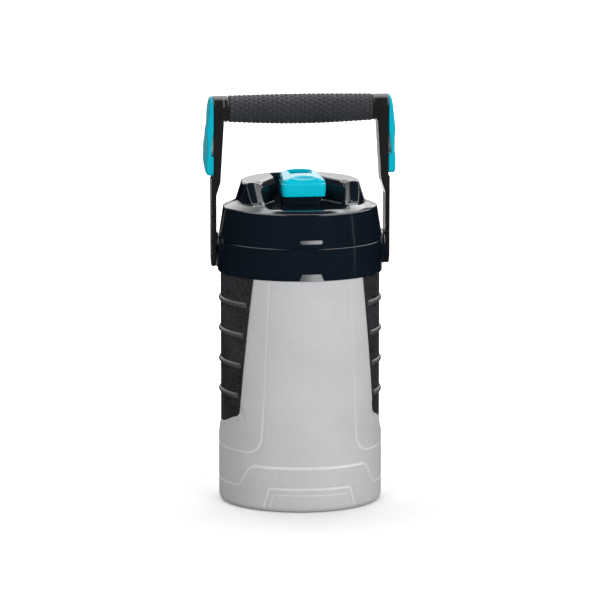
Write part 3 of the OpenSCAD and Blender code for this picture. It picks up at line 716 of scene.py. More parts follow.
class BumpTree(Growth):
    """Covers a barrel along X with rows of flat bumps."""

    inputs = (("Rows", "Int"), ("Around", "Int"), ("Half Length", "Float"), ("Middle Radius", "Float"),
              ("End Radius", "Float"), ("Height", "Float"), ("Sag", "Float"), ("Bump Size", "Vector"))

    def grow(self) -> Socket:
        """Sets rings of points on a line, puts them on the barrel and sets a bump on each.

        Returns:
            The bumps.
        """
        given = self.given
        start = self.vector(self.sum("MULTIPLY", given["Half Length"], -1.0), 0.0, 0.0)
        end = self.vector(given["Half Length"], 0.0, 0.0)
        line = self.get("GeometryNodeMeshLine", {"Count": given["Rows"], "Start Location": start, "Offset": end},
                        mode="END_POINTS")
        ring = self.get("GeometryNodeMeshCircle", {"Vertices": given["Around"], "Radius": 1.0})
        odd = self.sum("MODULO", self.get("GeometryNodeInputIndex"), 2.0)
        twist = self.sum("DIVIDE", self.sum("MULTIPLY", odd, math.pi), given["Around"])
        upright = self.get("GeometryNodeTransform", {"Geometry": ring, "Rotation": (0.0, math.pi / 2.0, 0.0)})
        rings = self.copies(line, upright, Rotation=self.vector(twist, 0.0, 0.0))
        real = self.get("GeometryNodeRealizeInstances", {"Geometry": rings})
        x, y, z = self.parts(self.get("GeometryNodeInputPosition"))
        share = self.sum("DIVIDE", x, given["Half Length"])
        swell = self.sum("COSINE", self.sum("MULTIPLY", share, math.pi / 2.0))
        full = self.sum("SUBTRACT", given["Middle Radius"], given["End Radius"])
        radius = self.sum("MULTIPLY_ADD", full, swell, given["End Radius"])
        axis = self.sum("SUBTRACT", given["Height"], self.sum("MULTIPLY", given["Sag"], swell))
        place = self.vector(x, self.sum("MULTIPLY", y, radius), self.sum("MULTIPLY_ADD", z, radius, axis))
        barrel = self.get("GeometryNodeSetPosition", {"Geometry": real, "Position": place})
        outward = self.get("FunctionNodeAlignRotationToVector", {
            "Vector": self.vector(0.0, y, self.sum("SUBTRACT", z, axis))}, axis="Z", pivot_axis="X")
        ball = self.get("GeometryNodeMeshUVSphere", {"Segments": 14, "Rings": 8, "Radius": 1.0})
        return self.copies(barrel, ball, Rotation=outward, Scale=given["Bump Size"])


class RibTree(Growth):
    """Lays level ribs round one side of the jug, each as wide as the grip under it."""

    inputs = (("Count", "Int"), ("First Height", "Float"), ("Pitch", "Float"), ("Columns", "Int"), ("Rows", "Int"),
              ("Root Radius", "Float"), ("Crest Radius", "Float"), ("Rib Half", "Float"), ("Base Half", "Float"),
              ("Spread", "Float"), ("Side", "Float"))

    def grow(self) -> Socket:
        """Stacks flat strips at the ribs' heights and bends them on to the grip.

        Returns:
            The ribs.
        """
        given = self.given
        line = self.get("GeometryNodeMeshLine", {
            "Count": given["Count"], "Start Location": self.vector(0.0, 0.0, given["First Height"]),
            "Offset": self.vector(0.0, 0.0, given["Pitch"])})
        strip = self.get("GeometryNodeMeshGrid", {"Size X": 2.0, "Size Y": 2.0, "Vertices X": given["Columns"],
                                                  "Vertices Y": given["Rows"]})
        real = self.get("GeometryNodeRealizeInstances", {"Geometry": self.copies(line, strip)})
        x, y, z = self.parts(self.get("GeometryNodeInputPosition"))
        across = self.sum("MULTIPLY", x, self.sum("MULTIPLY_ADD", z, given["Spread"], given["Base Half"]))
        round_off, ends = (self.sum("SUBTRACT", 1.0, self.sum("POWER", self.sum("ABSOLUTE", t), power))
                           for t, power in ((y, 2.4), (x, 40.0)))
        high = self.sum("MULTIPLY", self.sum("SUBTRACT", given["Crest Radius"], given["Root Radius"]),
                        self.sum("MULTIPLY", round_off, ends))
        radius = self.sum("ADD", given["Root Radius"], high)
        out = self.sum("SQRT", self.sum("SUBTRACT", self.sum("MULTIPLY", radius, radius),
                                        self.sum("MULTIPLY", across, across)))
        place = self.vector(self.sum("MULTIPLY", out, given["Side"]), across,
                            self.sum("MULTIPLY_ADD", y, given["Rib Half"], z))
        bent = self.get("GeometryNodeSetPosition", {"Geometry": real, "Position": place})
        left = self.sum("LESS_THAN", given["Side"], 0.0)
        return self.get("GeometryNodeFlipFaces", {"Mesh": bent, "Selection": left})


@dataclass(frozen=True)
class JugBody:
    """Silver outer shell with panel lines, a boot line and framed foot panels.

    Attributes:
        radius: Outer radius.
        top: Height of the shell's upper edge.
        spigot: Outer radius and height of the hidden spigot.
        base_edge: Radius of the rounded edge round the base.
        line_half: Half width of the panel lines.
        line_depth: Depth of the lines.
        line_fade: Heights at which the panel lines are faintest and full, and the share left where they are faintest.
        panel: Corners of a side panel, as angle from the front and height.
        panel_edge: Radius of the panel's lower corners.
        boot: Heights of the boot line at the front and at the sides.
        boot_turn: Angles from the front between which the boot line drops.
        boot_half: Half widths of the boot line at the front and at the sides.
        foot: Corners of the foot panel's frame line, as angle from the front and height.
        foot_gap: Distance from that line to the frame's inner line.
        foot_half: Half widths of the frame's two lines.
        pocket: How far the shell is set in at the edge of a grip and under it.
    """

    radius: float = 65.0
    top: float = 184.9
    spigot: Pair = (62.6, 192.0)
    base_edge: float = 5.0
    line_half: float = 0.7
    line_depth: float = 0.6
    line_fade: Point = (95.0, 55.0, 0.3)
    panel: tuple[Pair, ...] = ((28.9, 190.0), (35.6, 46.5), (144.4, 46.5), (151.1, 190.0))
    panel_edge: float = 13.0
    boot: Pair = (36.4, 18.5)
    boot_turn: Pair = (38.0, 62.0)
    boot_half: Pair = (1.1, 0.8)
    foot: tuple[Pair, Pair] = ((29.5, 19.5), (37.1, -8.0))
    foot_gap: float = 5.0
    foot_half: Pair = (0.9, 0.6)
    pocket: Pair = (1.5, 2.9)

    @staticmethod
    def angles() -> Array:
        """Column angles from the front, closer together where the lines run.

        Returns:
            Angles in degrees, all the way round.
        """
        quarter = np.concatenate([np.arange(0.0, 25.0, 1.5), np.arange(25.0, 63.0, 0.5), np.arange(63.0, 90.0, 1.5)])
        half = np.concatenate([quarter, [90.0], 180.0 - quarter[:0:-1]])
        return np.concatenate([half, 180.0 + half])

    def profile(self) -> Array:
        """Radius and height of the plain shell, from the middle of the base to the hidden spigot.

        Returns:
            One row for each ring of points.
        """
        foot = rounded([(8.0, 2.0), (50.0, 2.0), (51.5, 0.0), (60.0, 0.0)], 0.8, 4)
        edge = arc((self.radius - self.base_edge, self.base_edge), self.base_edge, -90.0, 0.0, 16)[1:]
        heights = np.concatenate([np.arange(5.5, 52.0, 0.5), np.arange(52.0, 62.0, 1.0), np.arange(62.0, 82.0, 0.6),
                                  np.arange(82.0, self.top - 0.6, 2.4)])
        wall = [(self.radius, float(z)) for z in heights]
        neck, end = self.spigot
        lip = [(self.radius, self.top - 0.5), (self.radius, self.top), (neck, self.top), (neck, end), (60.4, end)]
        return np.array([*foot, *edge, *wall, *rounded(lip, 0.4, 3)])

    @staticmethod
    def line(distance: Array, half: float | Array) -> Array:
        """Share of a flat-bottomed line: 1 within its half width and 0 beside it."""
        soft = 0.9
        return ease((half + soft / 2.0 - np.abs(distance)) / soft)

    def panel_distance(self, along: Array, z: Array, scale: float) -> Array:
        """Distance from the outline of a side panel.

        Args:
            along: Distance round the shell from the front.
            z: Heights.
            scale: Distance round the shell for one degree.

        Returns:
            Distances, negative inside the panel.
        """
        (a, top), (b, low), (c, _), (d, _) = ((p[0] * scale, p[1]) for p in self.panel)
        walls = np.maximum(-line_distance(along, z, (b, low), (a, top)), line_distance(along, z, (c, low), (d, top)))
        return soft_max(walls, low - z, self.panel_edge * 1.2)

    def relief(self, angle: Array, z: Array) -> tuple[Array, Array]:
        """How far the shell is set in, and where its lines run.

        Args:
            angle: Angles from the front, in degrees.
            z: Heights.

        Returns:
            Depths, positive inward, and the share of the lines' painted highlight.
        """
        turn = np.abs((angle + 180.0) % 360.0 - 180.0)
        front = np.minimum(turn, 180.0 - turn)
        scale = math.radians(1.0) * self.radius
        panel = self.panel_distance(turn * scale, z, scale)
        # Panel lines, fainter towards the top.
        high, low, left = self.line_fade
        lines = self.line(panel, self.line_half) * between((left, 1.0), ease((high - z) / (high - low)))
        # Boot line, no thinner where it runs steeply.
        share = ease(ease((front - self.boot_turn[0]) / (self.boot_turn[1] - self.boot_turn[0])))
        steep = 1.0 + 0.9 * np.sin(np.pi * share) ** 2
        half = between(self.boot_half, ease(share * 3.0))
        lines = np.maximum(lines, self.line((z - between(self.boot, share)) / steep, half))
        # Framed foot panel, which fades out at the base.
        (top_angle, top_z), (low_angle, low_z) = self.foot
        foot = outline_distance(front * scale, z, [(-20.0, top_z), (top_angle * scale, top_z),
                                                   (low_angle * scale, low_z), (-20.0, low_z)])
        outer, inner = self.foot_half
        frames = np.maximum(self.line(foot, outer), 0.6 * self.line(foot + self.foot_gap, inner))
        lines = np.maximum(lines, frames * ease((z - 2.5) / 2.5) * 0.8)
        # Pocket of the grip, with a swell round the grip's lower edge.
        grip = SideGrip.distance(-self.radius * np.cos(np.radians(turn)), z)
        swell = 2.5 + 8.5 * (1.0 - ease((z - SideGrip.corner_z) / 14.0))
        inset = self.pocket[0] * (1.0 - ease(grip / swell)) * (panel < 0.0)
        inset = np.where(grip < 0.0, between(self.pocket, ease(-grip / 1.2)), inset)
        return np.maximum(self.line_depth * lines, inset), lines * (inset < 1.0)

    def build(self) -> Piece:
        """Makes the shell.

        Returns:
            The dressed piece.
        """
        angles, profile = self.angles(), self.profile()
        radius, z = (np.repeat(c[:, None], len(angles), 1) for c in profile.T)
        turn = np.repeat(angles[None, :], len(profile), 0)
        wall = (radius > self.spigot[0] + 0.1) & (z < self.top - 0.05)
        depth, lines = self.relief(turn, z)
        radius = radius - np.where(wall, depth, 0.0)
        grid = np.stack([radius * np.sin(np.radians(turn)), -radius * np.cos(np.radians(turn)), z], -1)
        # The finish paints the lines lighter, as a highlight along them.
        skin = replace(Skin.from_grid(grid, True), shade=np.where(wall, lines, 0.0))
        return dress(skin.to_object("shell"), Body.JUG, SILVER, "outer_shell")


@dataclass(frozen=True)
class SideGrip:
    """Ribbed rubber grip let into one side of the body.

    Attributes:
        side: Side of the jug.
        face: Radius of the grip's plain face.
        crest: Radius of the ribs' tops.
        ribs: Number, lowest height and pitch of the ribs.
        rib_half: Half height of a rib.
        rib_inset: How far the ribs stop short of the grip's edges.
        corner_z: Height of the lower corners, the same on every grip, as are all that follow.
        top: Height of the upper edge.
        halves: Half widths at the lower corners and at full_z.
        full_z: Height at which the grip is widest.
        drop: How far the lower edge hangs below its corners.
        edge: Radius of the lower corners.
    """

    side: Side
    face: float = 63.4
    crest: float = 65.0
    ribs: tuple[int, float, float] = (4, 89.5, 24.5)
    rib_half: float = 2.4
    rib_inset: float = 3.6

    corner_z = 72.0
    top = 184.9
    halves = (36.0, 47.5)
    full_z = 185.0
    drop = 7.5
    edge = 7.0

    @classmethod
    def half_width(cls, z: Array) -> Array:
        """Half width of the grip at heights above its lower corners."""
        share = (z - cls.corner_z - cls.edge) / (cls.full_z - cls.corner_z - cls.edge)
        return between(cls.halves, np.clip(share, 0.0, 1.0))

    @classmethod
    def lower_edge(cls, y: Array) -> Array:
        """Height of the grip's rounded lower edge.

        Args:
            y: Places across the grip.

        Returns:
            Heights.
        """
        flat = cls.halves[0] - cls.edge
        bow = cls.drop * np.cos(0.5 * np.pi * np.clip(np.abs(y) / flat, 0.0, 1.0))
        corner = np.clip((np.abs(y) - flat) / cls.edge, 0.0, 1.0)
        return cls.corner_z - bow + cls.edge * (1.0 - np.sqrt(1.0 - corner * corner))

    @classmethod
    def distance(cls, y: Array, z: Array) -> Array:
        """Distance from the grip's outline, seen from the side.

        Args:
            y: Places across the grip.
            z: Heights.

        Returns:
            Distances, negative inside.
        """
        across = np.abs(y) - cls.half_width(z)
        body = JugBody.radius
        stretch = np.sqrt(np.maximum(1.0 - (np.minimum(np.abs(y), body - 1.0) / body) ** 2, 0.05))
        return np.maximum(across / stretch, (cls.lower_edge(y) - z) * 0.95)

    def rubber(self) -> Skin:
        """The plain grip with its rounded edge, on the right.

        Returns:
            Its skin.
        """
        wide, tall, rounding = 60.0, 120.0, 1.4
        rim = np.array([0.0, 0.004, 0.009, 0.015, 0.022, 0.03])
        across = np.concatenate([rim - 1.0, np.linspace(-0.955, 0.955, 84), 1.0 - rim[::-1]])
        steps = np.concatenate([[0.0, 0.25, 0.5, 0.8, 1.2, 1.7], np.arange(2.3, 119.6, 1.6), [119.8, 120.1, 120.4]])
        s, up = np.meshgrid(across, steps / steps[-1])
        low = self.lower_edge(s * self.halves[0])
        z = low + (self.top - low) * up
        y = s * self.half_width(z)
        inside = np.minimum((1.0 - np.abs(s)) * wide, up * tall)
        fall = 1.0 - np.sqrt(1.0 - (1.0 - np.clip(inside / rounding, 0.0, 1.0)) ** 2)
        return Skin.from_grid(np.stack([np.sqrt((self.face - rounding * fall) ** 2 - y**2), y, z], -1), False)

    def build(self) -> list[Piece]:
        """Makes the grip and its ribs.

        Returns:
            The dressed pieces.
        """
        called = self.side.called
        count, first, pitch = self.ribs
        spread = (self.halves[1] - self.halves[0]) / (self.full_z - self.corner_z - self.edge)
        base = self.halves[0] - self.rib_inset - spread * (self.corner_z + self.edge)
        ribs = RibTree(called("rib_rows")).grown(called("grip_ribs"), {
            "Count": count, "First Height": first * MM, "Pitch": pitch * MM, "Columns": 72, "Rows": 15,
            "Root Radius": (self.face - 0.4) * MM, "Crest Radius": self.crest * MM, "Rib Half": self.rib_half * MM,
            "Base Half": base * MM, "Spread": spread, "Side": float(self.side.value)}, RIB)
        rubber = self.rubber().on(self.side).to_object(called("grip_rubber"))
        return [dress(rubber, Body.JUG, GRIP, called("grip")), dress(ribs, Body.JUG, RIB)]


@dataclass(frozen=True)
class Collar:
    """Navy ring with the pivot bosses and a tongue at the front and back, painted pale as a reflection.

    Attributes:
        radius: Outer radius.
        inner: Radius of the bore.
        ledge: Radius and height of the ledge inside the bore.
        low: Height of the lower edge.
        seam: Height of the upper edge.
        boss: Radius of a pivot boss, and how far it reaches along X.
        lid_radius: Clear radius for the lid above the seam.
        tongue: Half widths of a tongue at its foot and its top, and its height.
        roots: Radii to which a boss and a tongue reach inward.
    """

    radius: float = 65.8
    inner: float = 62.75
    ledge: Pair = (56.0, 207.7)
    low: float = 185.0
    seam: float = 210.5
    boss: Pair = (14.0, 67.2)
    lid_radius: float = 65.8
    tongue: Point = (10.0, 7.5, 5.6)
    roots: Pair = (64.2, 65.0)

    def ring(self) -> Skin:
        """The plain ring.

        Returns:
            Its skin.
        """
        r, start, (step, under) = self.radius, (self.inner, 196.0), self.ledge
        loop = [start, (self.inner, self.low), (r - 0.3, self.low), (r, self.low + 1.5), (r - 0.3, self.seam - 0.5),
                (r - 0.8, self.seam), (step, self.seam), (step, under), (self.inner, under), start]
        return Skin.turned(rounded(loop, 0.7, 5), 256)

    def boss_shape(self, at: Places) -> Array:
        """Distance from the right boss.

        Args:
            at: Places as X, Y and height.

        Returns:
            Distances, negative inside.
        """
        x, y, z = at
        radius = np.hypot(x, y)
        disc = soft_max(np.hypot(y, z - PIVOT) - self.boss[0], x - self.boss[1], 1.2)
        lid = np.maximum(self.seam - 0.05 - z, radius - self.lid_radius)
        return np.maximum(np.maximum(disc, self.roots[0] - radius), -lid)

    def tongue_shape(self, at: Places) -> Array:
        """Distance from the front tongue.

        Args:
            at: Places as X, Y and height.

        Returns:
            Distances, negative inside.
        """
        x, y, z = at
        foot, top, high = self.tongue
        side = line_distance(np.abs(x), z, (foot, self.low), (top, self.low + high))
        plate = np.maximum(soft_max(side, z - self.low - high, 0.8), self.low - z)
        radius = np.hypot(x, y)
        return np.maximum(soft_max(plate, radius - self.radius - 0.7, 0.7), self.roots[1] - radius)

    def build(self) -> list[Piece]:
        """Makes the ring with its bosses, and the two tongues.

        Returns:
            The dressed pieces.
        """
        boss = Moulding(self.boss_shape, (61.0, -15.5, 187.0), (68.4, 15.5, 218.0), 0.42).skin()
        ring = self.ring().joined(boss, boss.on(Side.LEFT))
        tongue = Moulding(self.tongue_shape, (-11.0, -68.0, 184.2), (11.0, -63.6, 191.6), 0.3).skin()
        turn = np.array([-1.0, -1.0, 1.0])
        tongues = tongue.joined(Skin(tongue.points * turn, tongue.faces, tongue.normals * turn))
        return [dress(ring.to_object("collar_ring"), Body.JUG, NAVY, "collar"),
                dress(tongues.to_object("collar_tongues"), Body.JUG, REFLECTION_MARK)]


@dataclass(frozen=True)
class Lid:
    """Navy lid: tapered skirt, sloping deck, horseshoe crown and hinge lugs.

    Attributes:
        seam: Radius and height of the lower edge.
        rim: Radius of the rim, and height of the middle of its rounded edge.
        rim_edge: Radius of that edge.
        rim_turn: Angles at which the edge starts and ends, in degrees.
        inside: Radius and height at which the skirt's inner face ends, and its radius at the seam.
        deck_end: Radius at which the turned deck ends inside the moulded one.
        foot: Radius and height of the crown's foot.
        crown: Radius and height of the crown's top.
        tilt: Rise of the crown's top to the back, in degrees.
        ramp: Where the horns' slope starts and ends, as Y and height.
        pocket: How far in front of the axis the pocket's walls start to close in, and how far behind they end.
        floor: Height of the pocket's floor.
        chamfer: Width and height of the chamfer along those walls.
        channel: Half width of the front channel at its floor.
        draft: How fast the channel widens upward.
        strip: Width of the bevel on the horns' inner edges at its foot and its top, and the height between.
        strip_lean: Angle from the horns' faces to that bevel, in degrees.
        notch: Half width and back end of the hinge notch.
        lug: Inner face, outer face and radius of a hinge lug.
        bore: Radius of the hinge pin's bore.
        mark: Half width, height and half height of the mark, which is painted pale as a reflection.
    """

    seam: Pair = (65.3, 210.7)
    rim: Pair = (61.7, 235.4)
    rim_edge: float = 2.0
    rim_turn: Pair = (8.0, 67.0)
    inside: Point = (60.1, 234.0, 63.1)
    deck_end: float = 56.3
    foot: Pair = (52.0, 240.8)
    crown: Pair = (46.8, 257.2)
    tilt: float = 0.9
    ramp: tuple[Pair, Pair] = ((-31.0, 240.8), (-14.0, 257.2))
    pocket: Pair = (14.0, 11.3)
    floor: float = 239.3
    chamfer: Pair = (3.5, 4.4)
    channel: float = 31.5
    draft: float = 0.2
    strip: Point = (4.8, 3.4, 17.0)
    strip_lean: float = 20.0
    notch: Pair = (18.6, 40.0)
    lug: Point = (9.6, 13.5, 4.2)
    bore: float = 1.5
    mark: Point = (8.9, 215.6, 1.5)

    def deck_slope(self) -> float:
        """Rise of the deck for each millimetre outward.

        Returns:
            The slope, which is negative.
        """
        end = math.radians(self.rim_turn[1])
        radius = self.rim[0] - self.rim_edge + self.rim_edge * math.cos(end)
        return (self.rim[1] + self.rim_edge * math.sin(end) - self.foot[1]) / (radius - self.foot[0])

    def skirt(self) -> Skin:
        """The turned skirt, rim and outer deck.

        Returns:
            Their skin.
        """
        (radius, seam), (inner, inner_top, inner_low) = self.seam, self.inside
        rim = arc((self.rim[0] - self.rim_edge, self.rim[1]), self.rim_edge, *self.rim_turn, 8)
        deck = (self.deck_end, self.foot[1] + (self.deck_end - self.foot[0]) * self.deck_slope() - 0.03)
        lower = [(inner, inner_top), (inner_low, seam), (radius - 0.2, seam), (radius, seam + 0.8), rim[0]]
        return Skin.turned([*rounded(lower, 0.5, 4), *rim[1:], deck], 288)

    def pocket_shape(self, at: Places) -> Array:
        """Distance from the space of the pocket, the channel and the notch.

        Args:
            at: Places as X, Y and height.

        Returns:
            Distances, negative inside the space.
        """
        side, y, z = np.abs(at[0]), at[1], at[2]
        wall = line_distance(side, y, (self.channel, -self.pocket[0]), (self.notch[0], self.pocket[1]))
        start = self.crown[1] - self.chamfer[1]
        chamfer = line_distance(wall, z, (0.0, start), (self.chamfer[0], self.crown[1]))
        channel = side - self.channel - self.draft * (z - self.floor)
        closing = np.maximum(np.minimum(wall, chamfer), channel)
        walls = soft_min(closing, np.maximum(side - self.notch[0], y - self.notch[1]), 1.0)
        return soft_max(walls, self.floor - z, 1.6)

    def lug_shape(self, at: Places) -> Array:
        """Distance from the two hinge lugs.

        Args:
            at: Places as X, Y and height.

        Returns:
            Distances, negative inside.
        """
        inner, outer, radius = self.lug
        x, dy, dz = at[0], at[1] - HINGE[0], at[2] - HINGE[1]
        post = np.hypot(dy, np.maximum(dz, 0.0)) - radius
        plate = np.abs(np.abs(x) - (inner + outer) / 2.0) - (outer - inner) / 2.0
        return np.maximum(soft_max(post, plate, 0.9), self.bore - np.hypot(dy, dz))

    def crown_parts(self, at: Places) -> tuple[Array, Array, Array]:
        """Distances from the deck with its crown, from the pocket's walls and from the bevel strips.

        Args:
            at: Places as X, Y and height.

        Returns:
            The three distances, negative inside.
        """
        x, y, z = at
        radius = np.hypot(x, y)
        fall = math.atan(-self.deck_slope())
        rise = z - self.foot[1]
        deck = np.maximum(rise, rise * math.cos(fall) + (radius - self.foot[0]) * math.sin(fall))
        side = line_distance(radius, z, self.foot, self.crown)
        tilt = math.radians(self.tilt)
        top = (z - self.crown[1]) * math.cos(tilt) - y * math.sin(tilt)
        crown = soft_max(soft_max(top, side, 2.6), -line_distance(y, z, *self.ramp), 0.4)
        solid = soft_min(deck, crown, 2.0)
        wall = -self.pocket_shape(at)
        lean = math.radians(self.strip_lean)
        strip = between(self.strip[:2], (z - self.floor) / self.strip[2])
        strip = strip * math.sin(lean) * ease((-y - 6.0) / 4.0) * ease((z - self.foot[1] - 0.5) / 2.0)
        return solid, wall, solid * math.cos(lean) + wall * math.sin(lean) + strip

    def crown_shape(self, at: Places) -> Array:
        """Distance from the deck, the crown and the lugs."""
        solid, wall, bevel = self.crown_parts(at)
        return np.minimum(soft_max(soft_max(solid, wall, 1.4), bevel, 0.8), self.lug_shape(at))

    def satin(self, at: Places) -> Array:
        """Where the lid is satin, half on the pocket's walls and full on the bevel strips, which the finish also paints
        lighter as a highlight.

        Args:
            at: Places as X, Y and height.

        Returns:
            Shade of each place, from 0 to 1.
        """
        solid, wall, bevel = self.crown_parts(at)
        strips = ease((bevel - np.maximum(solid, wall)) / 0.5 - 0.2)
        level = ease((at[2] - self.floor - 0.8) / 0.8) * ease(self.crown[1] - self.chamfer[1] - at[2])
        return np.maximum(0.5 * ease((wall + 0.7) / 0.4) * level, strips)

    def mark_shape(self, at: Places) -> Array:
        """Distance from the mark on the skirt, which is painted pale as a reflection.

        Args:
            at: Places as X, Y and height.

        Returns:
            Distances, negative inside.
        """
        x, y, z = at
        half, middle, thick = self.mark
        pill = np.hypot(np.maximum(np.abs(x) - half + thick, 0.0), z - middle) - thick
        slope = (self.seam[0] - self.rim[0]) / (self.rim[1] - self.seam[1])
        out = np.hypot(x, y) - self.seam[0] + (z - self.seam[1]) * slope
        return np.maximum(soft_max(pill, out - 0.55, 0.6), -0.8 - out)

    def build(self) -> list[Piece]:
        """Makes the lid and its mark.

        Returns:
            The dressed pieces.
        """
        crown = Moulding(self.crown_shape, (-58.0, -58.0, 237.6), (58.0, 58.0, 260.4), 0.58).skin()
        crown = crown.kept((np.hypot(crown.points[:, 0], crown.points[:, 1]) < 57.0) & (crown.points[:, 2] > 238.2))
        mark = Moulding(self.mark_shape, (-10.0, -66.4, 214.0), (10.0, -62.0, 218.6), 0.28).skin()
        skin = self.skirt().joined(crown)
        # Satin on the pocket's walls; satin and a painted highlight on the bevel strips.
        skin = replace(skin, shade=self.satin(skin.points.T))
        return [dress(skin.to_object("lid_top"), Body.LID, LID_NAVY, "lid_shell"),
                dress(mark.to_object("lid_mark"), Body.LID, REFLECTION_MARK)]


@dataclass(frozen=True)
class Spout:
    """Navy drinking spout: a tube that stands in a rounded block.

    Attributes:
        half: Half width of the block.
        ends: Y of the block's front and back.
        corner: Radius of the block's corners.
        levels: Heights of the block's foot and top.
        axis: Y of the tube's axis.
        tube: Outer radius and bore of the tube.
        tube_ends: Heights of the tube's ends.
    """

    half: float = 14.2
    ends: Pair = (-23.5, 9.5)
    corner: float = 5.0
    levels: Pair = (239.3, 246.0)
    axis: float = -6.0
    tube: Pair = (9.0, 6.0)
    tube_ends: Pair = (226.6, 257.0)

    def shape(self, at: Places) -> Array:
        """Distance from the spout.

        Args:
            at: Places as X, Y and height.

        Returns:
            Distances, negative inside.
        """
        x, y, z = at
        front, back = self.ends
        along = np.abs(y - (front + back) / 2.0) - (back - front) / 2.0
        plan = box_distance(np.abs(x) - self.half, along, self.corner)
        block = np.maximum(soft_max(plan, z - self.levels[1], 1.6), self.levels[0] + 0.02 - z)
        radius = np.hypot(x, y - self.axis)
        tube = soft_max(radius - self.tube[0], np.maximum(z - self.tube_ends[1], self.tube_ends[0] - z), 1.2)
        return soft_max(soft_min(block, tube, 1.5), self.tube[1] - radius, 0.8)

    def build(self) -> Piece:
        """Makes the spout and dresses it."""
        skin = Moulding(self.shape, (-17.0, -24.5, 226.0), (17.0, 10.5, 258.0), 0.45).skin()
        return dress(skin.to_object("spout_block"), Body.LID, NAVY, "spout")


@dataclass(frozen=True)
class FlipCap:
    """Teal cap over the spout: a crowned top cut off by a front bevel, a thumb recess and a hinge barrel.

    Attributes:
        half: Half widths at the front and the back.
        ends: Y of the front and the back face.
        corner: Radius of the upright corners.
        low: Height of the lower edge.
        top: Heights of the top at the front and the back.
        crowning: How fast the top falls to the sides.
        bevel: Height at which the front bevel leaves the front face, and its angle in degrees.
        ledge: Height and depth of the ledge round the cap.
        belly: How far the sides draw in towards the lower edge.
        scoop: Middle and radii of the thumb scoop in the front lip.
        wall: Wall thickness.
        recess: Front and back of the thumb recess, and its half widths there.
        recess_floor: Height of the recess's floor.
        barrel: Half length, radius and bore of the hinge barrel.
        web: Height over the hinge and half height of the barrel's web, and how far it reaches into the back.
    """

    half: Pair = (18.0, 15.5)
    ends: Pair = (-26.0, 10.6)
    corner: float = 5.0
    low: float = 246.4
    top: Pair = (262.0, 265.0)
    crowning: float = 0.0095
    bevel: Pair = (260.8, 33.0)
    ledge: Pair = (256.2, 0.6)
    belly: float = 0.6
    scoop: tuple[Point, Point] = ((0.0, -27.0, 264.0), (14.0, 7.5, 4.6))
    wall: float = 2.2
    recess: tuple[Pair, Pair] = ((-9.0, 7.2), (8.2, 9.8))
    recess_floor: float = 262.2
    barrel: Point = (9.2, 4.2, 1.56)
    web: Point = (1.0, 3.0, 1.1)

    def block(self, at: Places) -> Array:
        """Distance from the cap's rounded block.

        Args:
            at: Places as X, Y and height.

        Returns:
            Distances, negative inside.
        """
        x, y, z = at
        front, back = self.ends
        share = (y - front) / (back - front)
        along = np.abs(y - (front + back) / 2.0) - (back - front) / 2.0
        plan = box_distance(np.abs(x) - between(self.half, share), along, self.corner)
        height = between(self.top, share) - self.crowning * x * x
        tilt = math.radians(self.bevel[1])
        bevel = (z - self.bevel[0]) * math.cos(tilt) - (y - front) * math.sin(tilt)
        above = z - self.ledge[0]
        drawn = self.belly * (above / 10.0) ** 2 + self.ledge[1] * ease(above / 0.7)
        return soft_max(plan + drawn, soft_max(z - height, bevel, 0.9), 2.2)

    def shape(self, at: Places) -> Array:
        """Distance from the cap.

        Args:
            at: Places as X, Y and height.

        Returns:
            Distances, negative inside.
        """
        x, y, z = at
        block = self.block(at)
        solid = np.maximum(soft_max(block, -(block + self.wall), 0.6), self.low - z)
        (front, back), (front_half, back_half) = self.recess
        side = line_distance(np.abs(x), y, (front_half, front), (back_half, back))
        recess = soft_max(soft_max(side, np.maximum(front - y, y - back), 1.2), self.recess_floor - z, 1.0)
        middle, radii = self.scoop
        reach = np.sqrt(sum(((p - m) / r) ** 2 for p, m, r in zip(at, middle, radii)))
        solid = soft_max(soft_max(solid, -recess, 0.8), (1.0 - reach) * radii[2], 0.7)
        half, radius, bore = self.barrel
        dy, dz = y - HINGE[0], z - HINGE[1]
        rise, thick, root = self.web
        web = np.maximum(np.abs(dz - rise) - thick, np.maximum(self.ends[1] - root - y, dy))
        barrel = soft_max(soft_min(np.hypot(dy, dz) - radius, web, 0.8), np.abs(x) - half, 0.8)
        return np.maximum(np.minimum(solid, barrel), bore - np.hypot(dy, dz))

    def build(self) -> Piece:
        """Makes the cap and dresses it."""
        skin = Moulding(self.shape, (-19.0, -27.0, 245.6), (19.0, 20.6, 265.4), 0.42).skin()
        return dress(skin.to_object("cap_shell"), Body.CAP, TEAL, "flip_cap")


